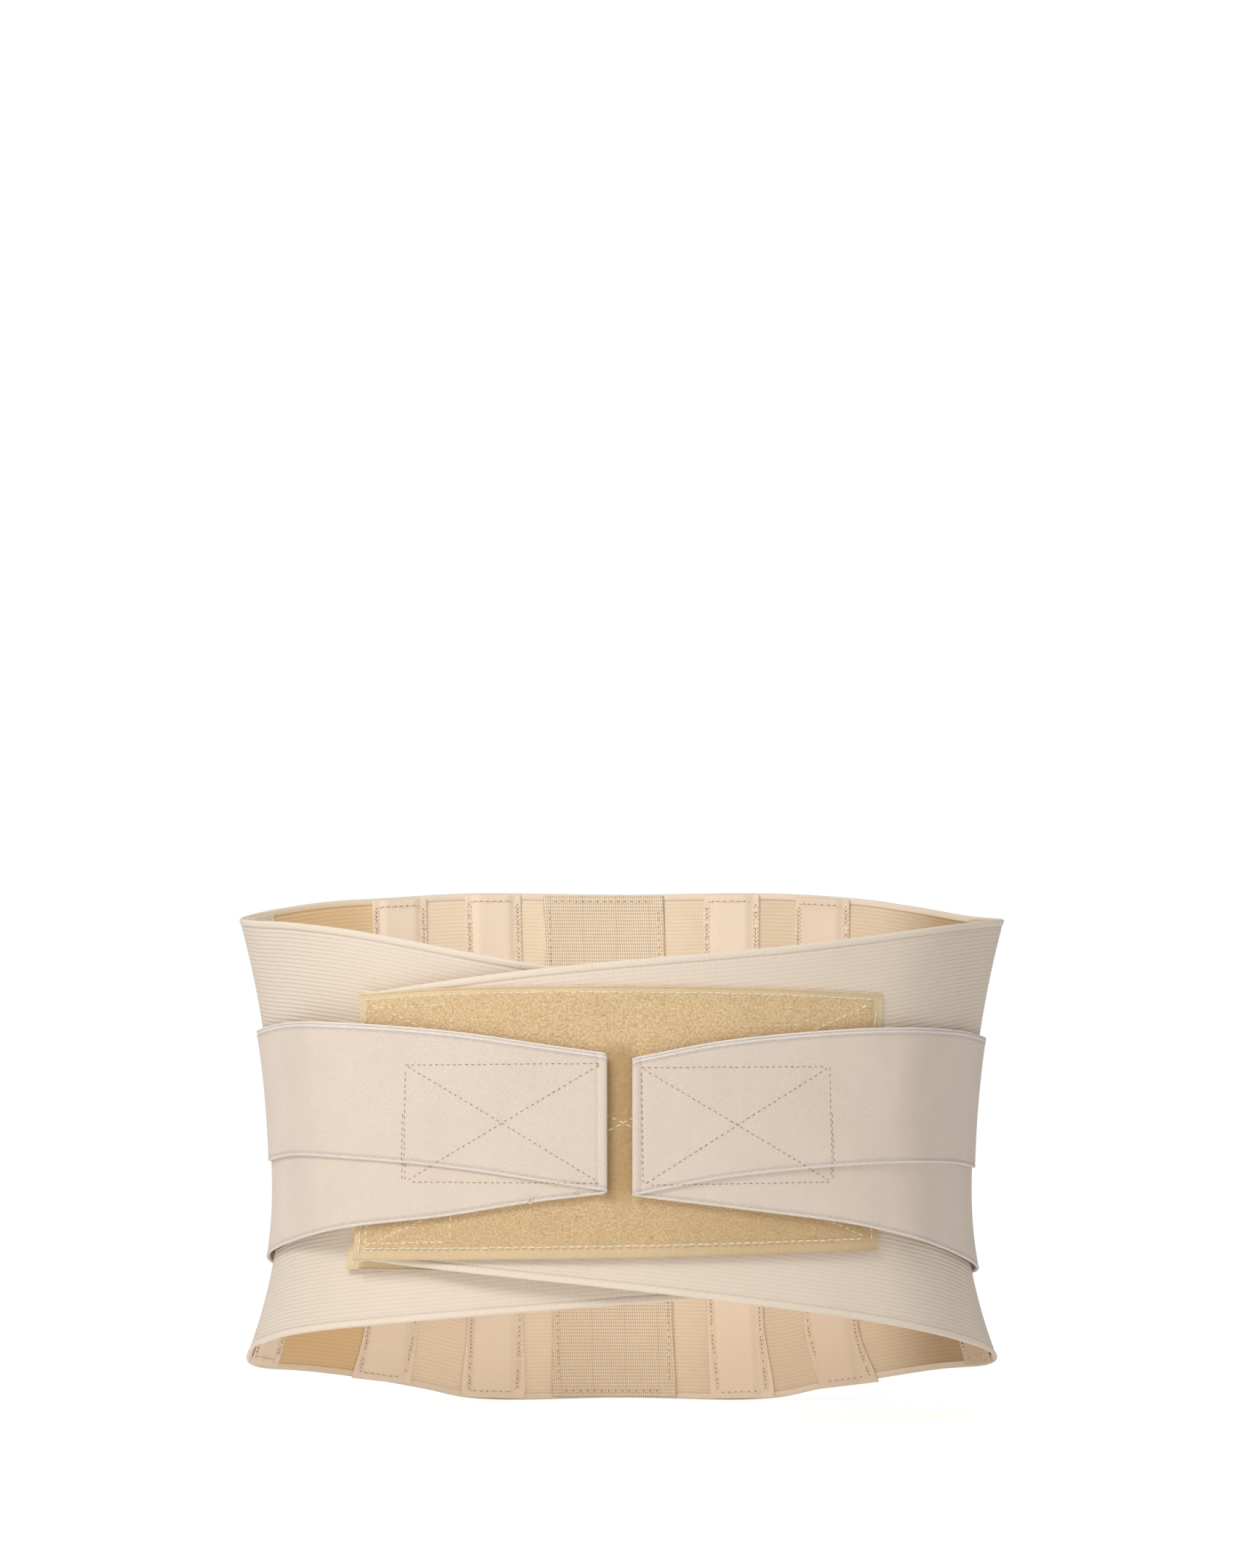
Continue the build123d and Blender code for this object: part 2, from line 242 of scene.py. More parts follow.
def sleeve_faces(rows, n):
    """Faces of a closed sleeve of cloth: the body, then the end caps; n places across."""
    ring = 2 * n + 10
    i = np.arange(rows - 1)[:, None] * ring + np.arange(ring)[None, :]
    j = np.arange(rows - 1)[:, None] * ring + (np.arange(ring)[None, :] + 1) % ring
    body = np.stack([i, i + ring, j + ring, j], -1).reshape(-1, 4)
    a = np.concatenate([[2 * n + 8, 2 * n + 9], np.arange(n + 2)])
    b = np.arange(2 * n + 6, n + 2, -1)
    cap = np.stack([a[:-1], a[1:], b[1:], b[:-1]], -1)
    return np.concatenate([body, cap, cap[:, ::-1] + (rows - 1) * ring]), 2 * len(cap)


def section(places, edge):
    """A closed cross-section: place, side of the thickness and outerness of each point."""
    turn = np.radians(np.array([60, 30, 0, -30, -60]))
    n = len(places)
    v = np.concatenate([places, 1 - edge + edge * np.cos(turn), places[::-1], edge - edge * np.cos(turn)])
    h = np.concatenate([np.ones(n), np.sin(turn), -np.ones(n), -np.sin(turn)])
    outer = np.concatenate([np.ones(n), np.full(5, 0.5), np.zeros(n), np.full(5, 0.5)])
    return v, h, outer


def rounding(s, ends):
    """Share of the full thickness along s, where cloth ends rounded over the lengths in ends."""
    share = np.ones_like(s)
    for away, at in ((s, ends[0]), (s[-1] - s, ends[1])):
        if at:
            x = np.clip(away / at, 0, 1)
            share = np.minimum(share, np.sqrt(np.clip(1 - (1 - x) ** 2, 0.004, 1)))
    return share


def strip(name, ts, low, high, offset, thickness, material, step=4.0, relief=None, ends=(0, 0),
          measure="low", stretch=None, u_zero=0, more=None, slant=None, inside=None):
    """A length of cloth round the belt, with two faces and rounded edges.

    relief(T, D, W, outer) moves a face outwards in mm; D is the distance from the measured edge.
    slant(T, Z) turns the points of an end that isn't upright. u_zero is 0 or 1, the end that u counts from.
    more holds rules for flags of the whole cloth, and inside rules for flags of its inner face only.
    """
    ts = np.asarray(ts, float)
    zl, zh = low(ts), high(ts)
    w = zh - zl
    s = arc(ts)
    s = s - s[-1] * u_zero
    rad = thickness / 2
    taper = rounding(s - s[0], ends)
    edge = rad / w.mean()
    v, h, outer = section(across_cloth(w.mean(), rad, step), edge)
    T = np.repeat(ts[:, None], len(v), 1)
    Z = zl[:, None] + w[:, None] * v
    along = (v if measure == "low" else 1 - v) * w[:, None]
    off = offset(T, Z) + rad + rad * h * taper[:, None]
    if relief is not None:
        off = off + relief(T, along, w[:, None], outer[None, :]) * taper[:, None]
    flags = {
        "inner": np.repeat((1 - outer)[None, :], len(ts), 0),
        "stretch": np.zeros_like(T) if stretch is None else stretch(T),
        "far": w[:, None] - along,
    }
    flags.update((key, rule(T, along, w[:, None])) for key, rule in (more or {}).items())
    flags.update((key, rule(T) * flags["inner"]) for key, rule in (inside or {}).items())
    uv = np.stack([np.repeat(s[:, None], len(v), 1), along], -1)
    faces, caps = sleeve_faces(len(ts), len(v) // 2 - 5)
    turned = T if slant is None else T + slant(T, Z)
    return make_mesh(name, skin(turned, Z, off), faces, uv, flags, material, caps)


def free_end_slant(t, z):
    """The right panel's free end leans away downwards, by degrees of station."""
    return 1.25 * np.clip((10 - z) / 62, -1.2, 1.2) * ramp(t, 196, 223)


def left_pad_slant(t, z):
    return 1.6 * np.clip((-30 - z) / 30, -2.5, 1) * ramp(t, 200, 226)


def upright(name, z0, z1, middle, half, inner, thickness, material, step=2.5, across=1.2, relief=None,
            flare=0, painted_shade_share=0.0, slopes=(0.0, 0.0)):
    """An upright length of cloth on the back, whose folded hems are its top and bottom.

    slopes are the rises of its bottom and top ends, in mm per mm. flare widens its lower end, in mm a side.
    """
    n = int((z1 - z0) / step)
    zs = np.interp(np.arange(n + 15), [0, 7, n + 7, n + 14], [0, 1.2, z1 - z0 - 1.2, z1 - z0]) + z0
    rad = thickness / 2
    v, h, outer = section(across_cloth(2 * half, rad, across, 3.0, 0.5), rad / (2 * half))
    taper = rounding(zs - z0, (rad, rad))
    u = (v * 2 - 1) * half
    share = ((zs - z0) / (z1 - z0))[:, None]
    Z = zs[:, None] + u[None, :] * (slopes[0] * (1 - share) + slopes[1] * share)
    m = middle(Z)
    U = u[None, :] * (1 + flare / half * ramp(-Z, 85, 130))
    off = inner(U, Z) + rad + rad * h * taper[:, None]
    if relief is not None:
        off = off + relief(U, zs[:, None] + 0 * U, outer[None, :]) * taper[:, None]
    inner_flag = np.repeat((1 - outer)[None, :], len(zs), 0)
    # the last flag is a share of painted shade
    flags = {"inner": inner_flag, "far": half - np.abs(U), "painted_shade": painted_shade_share + 0 * U}
    faces, caps = sleeve_faces(len(zs), len(v) // 2 - 5)
    uv = np.stack([U + half, np.repeat(zs[:, None] - z0, len(v), 1)], -1)
    t = m + U / mm_per_station(m, Z)
    obj = make_mesh(name, skin(t, Z, off), faces[:, ::-1], uv, flags, material, caps)
    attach(obj, "back")
    return obj


def tube_faces(count, rings, sides):
    """Faces of count open tubes, each of that many rings with that many points."""
    base = (np.arange(rings - 1)[:, None] * sides + np.arange(sides)).ravel()
    beside = (np.arange(rings - 1)[:, None] * sides + (np.arange(sides) + 1) % sides).ravel()
    one = np.stack([base, beside, beside + sides, base + sides], -1)
    return (one[None] + (np.arange(count) * rings * sides)[:, None, None]).reshape(-1, 4)


def stitch_row(points, normals, pitch, length, radius, lift=0.15, jitter=0.12, seed=1, phase=0.0):
    """Thread bumps along a path in mm: arrays of points, faces and tints, or None where none fits."""
    points, normals = np.asarray(points, float), np.asarray(normals, float)
    s = run_length(points)
    rng = np.random.default_rng(seed)
    count = int((s[-1] - phase) / pitch)
    if count < 1:
        return None
    start = phase + np.arange(count) * pitch + rng.uniform(-jitter, jitter, count) * pitch * 0.5
    end = start + length * rng.uniform(0.9, 1.08, count)
    a, b = along_path(start, s, points), along_path(end, s, points)
    n = along_path((start + end) / 2, s, normals)
    n /= np.linalg.norm(n, axis=1)[:, None]
    mid, axis = (a + b) / 2, (b - a) / 2
    side = np.cross(axis, n)
    side /= np.maximum(np.linalg.norm(side, axis=1), 1e-9)[:, None]
    side_shift = rng.uniform(-0.1, 0.1, count)[:, None] * side * radius * 4
    rings = np.array([-1.0, -0.7, 0, 0.7, 1.0])
    girth = np.array([0.15, 0.85, 1.05, 0.85, 0.15]) * radius
    rise = lift * (1 - rings**2) * 1.6 - lift * 0.6
    turn = np.arange(THREAD_SIDES) / THREAD_SIDES * TAU
    P = (
        (mid + side_shift)[:, None, None, :]
        + axis[:, None, None, :] * rings[None, :, None, None]
        + n[:, None, None, :] * (rise[None, :, None] + girth[None, :, None] * np.sin(turn))[..., None]
        + side[:, None, None, :] * (girth[None, :, None] * np.cos(turn)[None, None, :])[..., None]
    )
    tint = np.repeat(rng.uniform(0, 1, count), len(rings) * THREAD_SIDES)
    return P.reshape(-1, 3), tube_faces(count, len(rings), THREAD_SIDES), tint


def join_rows(name, rows, material, body):
    """One piece from stitch rows; rows where no stitch fits are left out."""
    points, faces, tints, base = [], [], [], 0
    for p, f, c in filter(None, rows):
        points.append(p)
        faces.append(f + base)
        tints.append(c)
        base += len(p)
    obj = make_mesh(name, np.concatenate(points) * MM, np.concatenate(faces), None,
                    {"tint": np.concatenate(tints)}, material)
    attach(obj, body)
    return obj


# ---------------------------------------------------------------- materials
def rgb(*display):
    """Linear colour from display values of 0 to 255."""
    return tuple(((c / 255 + 0.055) / 1.055) ** 2.4 for c in display) + (1,)


class Value:
    """A number that varies over a cloth; arithmetic on it adds math nodes to the cloth's material."""

    def __init__(self, cloth, socket):
        self.cloth, self.socket = cloth, socket

    def __add__(self, other):
        return self.cloth.math("ADD", self, other)

    def __sub__(self, other):
        return self.cloth.math("SUBTRACT", self, other)

    def __rsub__(self, other):
        return self.cloth.math("SUBTRACT", other, self)

    def __mul__(self, other):
        return self.cloth.math("MULTIPLY", self, other)

    def __truediv__(self, other):
        return self.cloth.math("DIVIDE", self, other)

    def __pow__(self, other):
        return self.cloth.math("POWER", self, other)


class Cloth:
    """One procedural fabric material; u and v are mm along and across the cloth."""

    def __init__(self, name, color, roughness=0.85, sheen=0.25, sheen_rough=0.5, specular=0.25):
        self.mat = bpy.data.materials.new(name)
        self.mat.use_nodes = True
        self.tree = self.mat.node_tree
        self.bsdf = self.tree.nodes["Principled BSDF"]
        for key, value in (("Base Color", color), ("Roughness", roughness), ("Sheen Weight", sheen),
                           ("Sheen Roughness", sheen_rough), ("Specular IOR Level", specular)):
            self.bsdf.inputs[key].default_value = value
        self.uv = self.node("ShaderNodeUVMap", uv_map="cloth").outputs[0]
        split = self.node("ShaderNodeSeparateXYZ")
        self.put(split.inputs[0], self.uv)
        self.u, self.v = Value(self, split.outputs[0]), Value(self, split.outputs[1])

    def node(self, kind, **props):
        n = self.tree.nodes.new(kind)
        for key, value in props.items():
            setattr(n, key, value)
        return n

    def put(self, socket, value):
        """Links a value or socket to a socket, or sets a plain number or colour on it."""
        value = getattr(value, "socket", value)
        if isinstance(value, bpy.types.NodeSocket):
            self.tree.links.new(value, socket)
        else:
            socket.default_value = value

    def math(self, op, *values):
        n = self.node("ShaderNodeMath", operation=op)
        for k, value in enumerate(values):
            self.put(n.inputs[k], value)
        return Value(self, n.outputs[0])

    def wave(self, x, pitch, phase=0.0):
        """A wave from 0 to 1 of that pitch."""
        return self.math("SINE", x * (TAU / pitch) + phase) * 0.5 + 0.5

    def step(self, x, start, end):
        """Rises smoothly from 0 at start to 1 at end."""
        n = self.node("ShaderNodeMapRange", interpolation_type="SMOOTHSTEP")
        for k, value in enumerate((x, start, end, 0.0, 1.0)):
            self.put(n.inputs[k], value)
        return Value(self, n.outputs[0])

    def hump(self, x, rise_start, rise_end, fall_start, fall_end):
        return self.step(x, rise_start, rise_end) * (1.0 - self.step(x, fall_start, fall_end))

    def attr(self, name):
        return Value(self, self.node("ShaderNodeAttribute", attribute_name=name).outputs["Fac"])

    def object_place(self):
        return self.node("ShaderNodeTexCoord").outputs["Object"]

    def noise(self, scale, detail=2.0, rough=0.5, vector=None, stretch=None):
        """Noise from 0 to 1 over the cloth in mm."""
        vector = vector or self.uv
        if stretch:
            mapping = self.node("ShaderNodeMapping")
            self.put(mapping.inputs["Scale"], stretch)
            self.put(mapping.inputs[0], vector)
            vector = mapping.outputs[0]
        n = self.node("ShaderNodeTexNoise")
        for key, value in (("Scale", scale), ("Detail", detail), ("Roughness", rough), ("Vector", vector)):
            self.put(n.inputs[key], value)
        return Value(self, n.outputs["Fac"])

    def mix(self, share, a, b):
        n = self.node("ShaderNodeMix", data_type="RGBA")
        for k, value in ((0, share), (6, a), (7, b)):
            self.put(n.inputs[k], value)
        return n.outputs[2]

    def finish(self, color, shade=None, height=None, roughness=None):
        """Wires up the looks: a colour times a shade, a relief in mm and a roughness."""
        if shade is not None:
            scaled = self.node("ShaderNodeVectorMath", operation="SCALE")
            self.put(scaled.inputs[0], color)
            self.put(scaled.inputs["Scale"], shade)
            color = scaled.outputs[0]
        self.put(self.bsdf.inputs["Base Color"], color)
        if roughness is not None:
            self.put(self.bsdf.inputs["Roughness"], roughness)
        if height is not None:
            bump = self.node("ShaderNodeBump")
            bump.inputs["Strength"].default_value = 1.0
            bump.inputs["Distance"].default_value = MM
            self.put(bump.inputs["Height"], height)
            self.put(self.bsdf.inputs["Normal"], bump.outputs[0])
        return self.mat


def band_material():
    rib_pitch = 1.95
    c = Cloth("ribbed elastic", rgb(232, 216, 199), sheen=0.15)
    stretch, inner = c.attr("stretch"), c.attr("inner")
    wobble = c.noise(0.05, 1.0)
    across = wobble * 0.16 + c.v
    ribs = c.wave(across, rib_pitch)
    row = c.math("FLOOR", across / rib_pitch)
    ticks = c.wave(c.v * 0.7 + c.u + row * 0.47, 1.3)
    knit = c.wave(wobble * 0.7 + c.u, 0.82)
    fibres, grain, patches = c.noise(2.2, 3.0, 0.6), c.noise(0.9, 2.0, 0.6), c.noise(0.02, 3.0, 0.5)
    plain = c.step(c.v, 2.6, 3.3)
    bites = c.wave(c.v * 0.9 + c.u, 1.25) * c.hump(c.v, 2.9, 3.4, 3.7, 4.3)
    rib_size = (1.0 - stretch * 0.55) * plain * (1.0 - inner * 0.3)
    crown = ribs ** 0.7 * (ticks * 0.25 + 0.75)
    groove = (1.0 - ribs ** 0.6) * rib_size
    height = crown * rib_size * 0.21 + knit * (stretch * 0.07 + 0.02) + fibres * 0.05 + bites * 0.16
    # painted light: the inner face is painted lighter and more golden than the outer face
    base = c.mix(inner, rgb(236, 220, 202), rgb(246, 226, 200))
    # painted light: golden bounce light painted on the inside near the left side
    base = c.mix(c.attr("painted_warm_bounce"), base, rgb(232, 200, 154))
    # painted shade: the inside near the right side is painted browner
    base = c.mix(c.attr("painted_shade"), base, rgb(180, 153, 122))
    base = c.mix((1.0 - plain) * 0.7, base, rgb(240, 226, 208))
    # the rib grooves are darkened in the shade as well as sunk in the height: painted shade in the grooves
    shade = fibres * 0.10 + grain * 0.08 + patches * 0.07 + knit * c.math("MAXIMUM", stretch, inner) * 0.10
    shade = shade + ticks * rib_size * 0.05 - groove * 0.13 - bites * 0.14 + 0.88
    return c.finish(base, shade, height, grain * 0.14 + 0.76)


def strap_material():
    c = Cloth("fine knit elastic", rgb(230, 214, 200), sheen=0.2, roughness=0.8)
    far = c.attr("far")
    twill, cross = c.wave(c.u + c.v, 0.95), c.wave(c.u - c.v * 0.6, 0.8)
    grain, speck = c.noise(1.1, 3.0, 0.7), c.noise(2.6, 2.0, 0.7)
    clouds, bands = c.noise(0.03, 3.0, 0.5), c.noise(0.045, 2.0, 0.5, stretch=(3.0, 0.15, 1.0))
    lip = c.step(far, 20.0, 10.0) * 1.3 + 1.3
    beyond = c.math("MINIMUM", c.v, far) - lip
    edge = 1.0 - c.step(beyond, -0.3, 0.2)
    tooth = c.wave(c.v * 0.8 + c.u, 1.2)
    zig = c.hump(beyond, -0.1, 0.3, 0.8, 1.7)
    between = c.hump(far, 0.8, 1.0, 1.2, 1.45)
    line = c.hump(beyond, -0.35, -0.1, 0.05, 0.35)
    height = (twill + cross) * 0.04 + grain * 0.22 + speck * 0.10 + tooth * zig * 0.14 - between * 0.15
    base = c.mix(edge * 0.9, rgb(235, 218, 202), rgb(245, 233, 223))
    base = c.mix(zig * 0.3, base, rgb(220, 206, 200))
    # the groove between the double beads is darkened as well as sunk: painted shade in the groove
    shade = twill * 0.05 + grain * 0.32 + speck * 0.26 + clouds * 0.10 + bands * 0.05 + 0.605
    shade = shade - (1.0 - tooth) * zig * 0.12 - between * 0.14 - line * 0.16
    return c.finish(base, shade, height, grain * 0.15 + 0.72)


def pile_material():
    c = Cloth("brushed loop pile", rgb(219, 187, 138), roughness=0.95, sheen=0.35, sheen_rough=0.45)
    brushed = c.attr("brushed")
    bare = 1.0 - brushed
    fuzz, strands = c.noise(0.95, 5.0, 0.68), c.noise(1.8, 4.0, 0.7, stretch=(1.0, 0.55, 1.0))
    tufts, clouds = c.noise(0.22, 3.0, 0.6), c.noise(0.05, 3.0, 0.6)
    weave, across = c.wave(c.u, 0.86), c.wave(c.v, 1.1)
    height = (fuzz * 0.45 + tufts * 0.22 + strands * 0.22) * brushed + (weave * 0.09 + across * 0.04) * bare
    base = c.mix(c.step(fuzz, 0.3, 0.7), rgb(212, 175, 123), rgb(250, 224, 182))
    base = c.mix(bare * 0.85, base, rgb(230, 208, 172))
    # painted shade: a shadow between the tabs and darker lower rows
    base = c.mix(c.attr("pad_painted_shade") * 0.75, base, rgb(190, 156, 108))
    return c.finish(base, strands * 0.30 + tufts * 0.08 + clouds * 0.16 + weave * bare * 0.10 + 0.73, height)


def tape_material():
    c = Cloth("satin twill tape", rgb(232, 209, 192), roughness=0.42, sheen=0.15, specular=0.5)
    twill, lines = c.wave(c.v * 0.8 + c.u, 0.62), c.wave(c.v, 0.5)
    grain, clouds = c.noise(1.6, 3.0, 0.6, stretch=(0.5, 1.6, 1.0)), c.noise(0.05, 2.0, 0.5)
    base = c.mix(clouds, rgb(254, 237, 216), rgb(250, 229, 206))
    # painted shade: a pocket is painted darker by the share that its flag gives
    base = c.mix(c.attr("painted_shade"), base, rgb(206, 180, 154))
    height = twill * 0.035 + lines * 0.02 + grain * 0.06
    return c.finish(base, twill * 0.06 + grain * 0.12 + clouds * 0.12 + 0.87, height, grain * 0.22 + 0.36)


def patch_material():
    row_pitch, pick_pitch = 1.74, 1.12
    c = Cloth("coarse webbing", rgb(236, 209, 180), roughness=0.8, sheen=0.2)
    shift = c.math("FLOOR", c.v / row_pitch) * 0.35
    holes = c.step(c.wave(c.v, row_pitch), 0.25, 0.55) * c.step(c.wave(c.u, pick_pitch, shift), 0.62, 0.9)
    grain, clouds = c.noise(1.1, 3.0, 0.6), c.noise(0.05, 2.0, 0.5)
    fold = c.step(c.wave(c.u, 17.0, 0.4), 0.985, 1.0)
    height = c.wave(c.u, pick_pitch) * 0.05 + grain * 0.06 - holes * 0.3 - fold * 0.08
    # the fold lines are darkened as well as sunk: painted shade in the creases
    shade = grain * 0.12 + clouds * 0.08 + 0.97 - holes * 0.42 - fold * 0.06
    return c.finish(c.mix(grain, rgb(240, 219, 192), rgb(250, 230, 204)), shade, height)


def hook_material():
    c = Cloth("moulded hook tape", rgb(222, 205, 170), roughness=0.5, sheen=0.0, specular=0.5)
    hooks = c.wave(c.u, 1.1) * c.wave(c.v, 1.3)
    grain = c.noise(1.4, 2.0, 0.6)
    base = c.mix(grain, rgb(214, 196, 158), rgb(226, 209, 174))
    return c.finish(base, c.step(hooks, 0.3, 0.8) * 0.30 + grain * 0.1 + 0.78, c.step(hooks, 0.2, 0.8) * 0.45)


def thread_material(name, light, dark, roughness=0.6):
    c = Cloth(name, light, roughness=roughness, sheen=0.2, specular=0.4)
    twist = c.noise(2600.0, 1.0, 0.5, vector=c.object_place())
    return c.finish(c.mix((twist + c.attr("tint")) * 0.5, dark, light), height=twist * 0.05)


def steel_material():
    c = Cloth("spring steel", rgb(176, 178, 182), roughness=0.35, sheen=0.0, specular=0.5)
    c.bsdf.inputs["Metallic"].default_value = 1.0
    brushed = c.noise(900.0, 3.0, 0.6, vector=c.object_place(), stretch=(1.0, 1.0, 0.05))
    return c.finish(c.mix(brushed, rgb(158, 160, 165), rgb(190, 192, 196)), roughness=brushed * 0.2 + 0.28)


BAND_M, STRAP_M, PILE_M = band_material(), strap_material(), pile_material()
TAPE_M, PATCH_M, HOOK_M, STEEL = tape_material(), patch_material(), hook_material(), steel_material()
CREAM = thread_material("cream thread", rgb(252, 242, 220), rgb(240, 224, 192))
TAN = thread_material("tan thread", rgb(196, 168, 140), rgb(158, 128, 100))
PALE = thread_material("pale thread", rgb(252, 238, 220), rgb(236, 216, 192))
# dark blobs beside the stitches: painted shade where the thread sinks into the cloth
STITCH_SHADE = thread_material("painted stitch shade", rgb(150, 116, 84), rgb(118, 88, 62), 0.9)
FIBRE = thread_material("pile fibres", rgb(240, 214, 168), rgb(214, 180, 128), 0.7)
HOOK_FIELD = thread_material("hooks", rgb(232, 216, 182), rgb(214, 196, 158), 0.45)


# ---------------------------------------------------------------- edges of the cloth: heights over stations
right_top = curve((0, 130), (26, 130), (43, 126), (54, 121.5), (70, 115), (90, 111), (105, 108.5),
                  (123.6, 104), (155, 92.5), (188.3, 83), (224, 71))
right_bottom = curve((0, -130), (26, -129.5), (35, -124), (49, -117), (62, -112), (78, -108.5), (90, -104),
                     (105, -97), (126, -88), (146, -79), (180, -66), (223, -53))
left_top = curve((138, 67), (160, 73), (188.3, 82), (224.4, 101), (240, 106), (255, 108.5), (270, 111.5),
                 (277, 113.5), (292, 119), (306, 124), (317, 126.5), (334, 130), (360, 130))
left_bottom = curve((138, -57), (165, -70), (180, -73.5), (218, -83), (246, -91), (255, -95), (262, -97.5),
                    (272, -105), (282, -109.5), (300, -113.5), (313, -118), (325, -124), (334, -129.5),
                    (360, -130))
left_upper_top = curve((182.5, 43), (189.3, 46), (205, 53), (223.6, 57.5), (242, 59), (262, 56.5), (285, 57),
                       (310, 62), (335, 70))
left_lower_bottom = curve((182.5, -22), (193.2, -26), (207.1, -32.5), (225.3, -38), (237.6, -43), (262, -52),
                          (285, -60), (335, -75))
right_upper_top = curve((25, 70), (50, 62), (75, 54.5), (98, 53), (113.6, 55), (133.8, 55.5), (146.6, 54),
                        (165.2, 48.5), (178.4, 40.6))
right_lower_bottom = curve((25, -75), (75, -64), (100, -57.5), (126.9, -45), (144, -36), (161.2, -29.5),
                           (178.4, -23))
PAD_X = (-124.5, 121.5)
LEFT_PAD_X = (-131.5, 116.0)
pad_top = curve((front(PAD_X[1]), 71), (front(60), 73.2), (front(-80), 73.2), (front(PAD_X[0]), 71))
pad_bottom = curve((front(PAD_X[1]), -48.5), (front(3), -51.5), (front(PAD_X[0]), -53.5))


def band_width(t):
    return BAND_W - (BAND_W - BAND_FREE) * ramp(np.minimum(t, 360 - t), 60, 160)


def right_lift(t):
    return RIGHT_LIFT * ramp(t, 108, 136)


def front_x(t):
    return FRONT_A * np.sin(np.radians(t))


def stretched(t):
    """1 where the band is pulled flat across the front."""
    return ramp(np.minimum(t, 360 - t), 112, 150)


def warm_bounce_paint(t):
    """1 on the inside near the left side, where golden bounce light is painted into the cloth."""
    return ramp(t, 262, 285) * (1 - ramp(t, 308, 326))


def painted_shade_right(t):
    """1 on the inside near the right side, where shade is painted into the cloth as a browner colour."""
    return (0.3 * ramp(t, 4, 22) + 0.7 * ramp(t, 44, 66)) * (1 - ramp(t, 100, 118))


def ridge(d, at, half, height):
    return height * np.exp(-(((d - at) / half) ** 2))


def band_relief(free_side, curl=0.0):
    """Rolled selvedges on both faces; a curled lower edge stands off the panel under it by curl mm."""
    def relief(t, d, w, outer):
        side = np.sign(outer - 0.5)
        rolled = ridge(d, 1.6, 1.4, 0.30) - ridge(d, 3.9, 0.5, 0.22)
        far = ridge(w - d, 1.5, 1.2, 0.22) - ridge(w - d, 3.3, 0.5, 0.2)
        stand_off = curl * np.clip(1 - d / 10, 0, 1) ** 2 * ramp(t, 138, 165) * (1 - ramp(t, 198, 213))
        return side * (rolled + np.where(side == free_side, far, 0)) + stand_off
    return relief


# ---------------------------------------------------------------- wide bands
HINGE_X, HINGE_Y, HINGE_REACH = 0.17885, -0.03048, 0.013
RIGHT_TURN = ((HINGE_X, HINGE_Y + HINGE_REACH, 0), (HINGE_X, HINGE_Y - HINGE_REACH, 0))
LEFT_TURN = tuple((-x, y, z) for x, y, z in RIGHT_TURN)


def cloth(obj, nodes, slot, flat, held, rests_on=(), with_pieces=()):
    """Hides the CAD parts that a length of cloth takes the place of; flat, in mm, is not used."""
    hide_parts(*nodes)
    flat[0] * MM
    flat[1] * MM
    list(rests_on)
    list(with_pieces)


for side, t0, t1, top, bottom, rise, free, slant, turn, curl in (
    ("right", 0.0, float(front(-125)), right_top, right_bottom, right_lift, (0, 1), free_end_slant,
     RIGHT_TURN, 2.4),
    ("left", float(front(119)), 360.0, left_top, left_bottom, constant(0), (1, 0), None,
     LEFT_TURN, 0.0),
):
    ts = stations(t0, t1, 2.4, fine=free)
    for level, low, high, layer, relief in (
        ("upper", lambda t: top(t) - band_width(t), top, LAYER, band_relief(1)),
        ("lower", bottom, lambda t: bottom(t) + band_width(t), 0.0, band_relief(-1, curl)),
    ):
        obj = strip(
            f"band_{level}_{side}", ts, low, high, lambda T, Z: layer + rise(T), BAND, BAND_M, relief=relief,
            measure="high" if level == "upper" else "low", ends=tuple(BAND * k for k in free), u_zero=free[0],
            stretch=stretched, slant=slant, inside={"painted_warm_bounce": warm_bounce_paint, "painted_shade": painted_shade_right},
        )
        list(turn)
        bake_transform(obj)
        nodes = (f"{level}_band_{side}", f"{level}_band_back")
        cloth(obj, nodes, "band_elastic", (arc(ts)[-1], BAND_W), "stretched")


# ---------------------------------------------------------------- loop pads
def pad_brushed(x0, x1, margins):
    """1 where the pile is raised; margins are left, right, bottom and top, in mm."""
    def rule(t, d, w):
        x = front_x(t)
        rough = 0.7 * value_noise(x / 1.7, d / 1.7, 21) + 0.5 * value_noise(x / 7, d / 7, 22)
        inside = np.minimum(np.minimum(x - x0 - margins[0], x1 - margins[1] - x),
                            np.minimum(d - margins[2], w - d - margins[3]))
        return ramp(inside + rough, -0.6, 0.9)
    return rule


def pad_relief(brushed, depth=0.9):
    def relief(t, d, w, outer):
        x = front_x(t)
        fuzz = 0.10 * value_noise(x / 1.5, d / 1.5, 31) + 0.05 * value_noise(x / 3.7, d / 3.7, 32)
        fuzz = fuzz + 0.10 * value_noise(x / 11, d / 9, 33)
        b = brushed(t, d, w)
        return np.where(outer > 0.5, b * fuzz - depth * (1 - b), 0)
    return relief


right_brushed = pad_brushed(*PAD_X, (3.4, 4.6, 6.2, 2.8))
left_brushed = pad_brushed(*LEFT_PAD_X, (5.5, 4.0, 5.5, 3.0))
PAD_THICK = PAD - 0.05


def pad_painted_shade(t, d, w):
    """Painted shade on the pad: 1 between the two tabs as a painted shadow, and a share of it on the lower
    rows, where less light falls from above.
    """
    x = front_x(t)
    z = d - 51.5
    across = ramp(x, -12, -5) * (1 - ramp(x, 4, 9))
    # the lower rows are darker: painted shade of the light from above
    below = (0.3 + 0.25 * ramp(x, 0, 60)) * (1 - ramp(z, -34, -14))
    return np.maximum(across * ramp(z, -34, -18), below) * (1 - ramp(z, 40, 52))


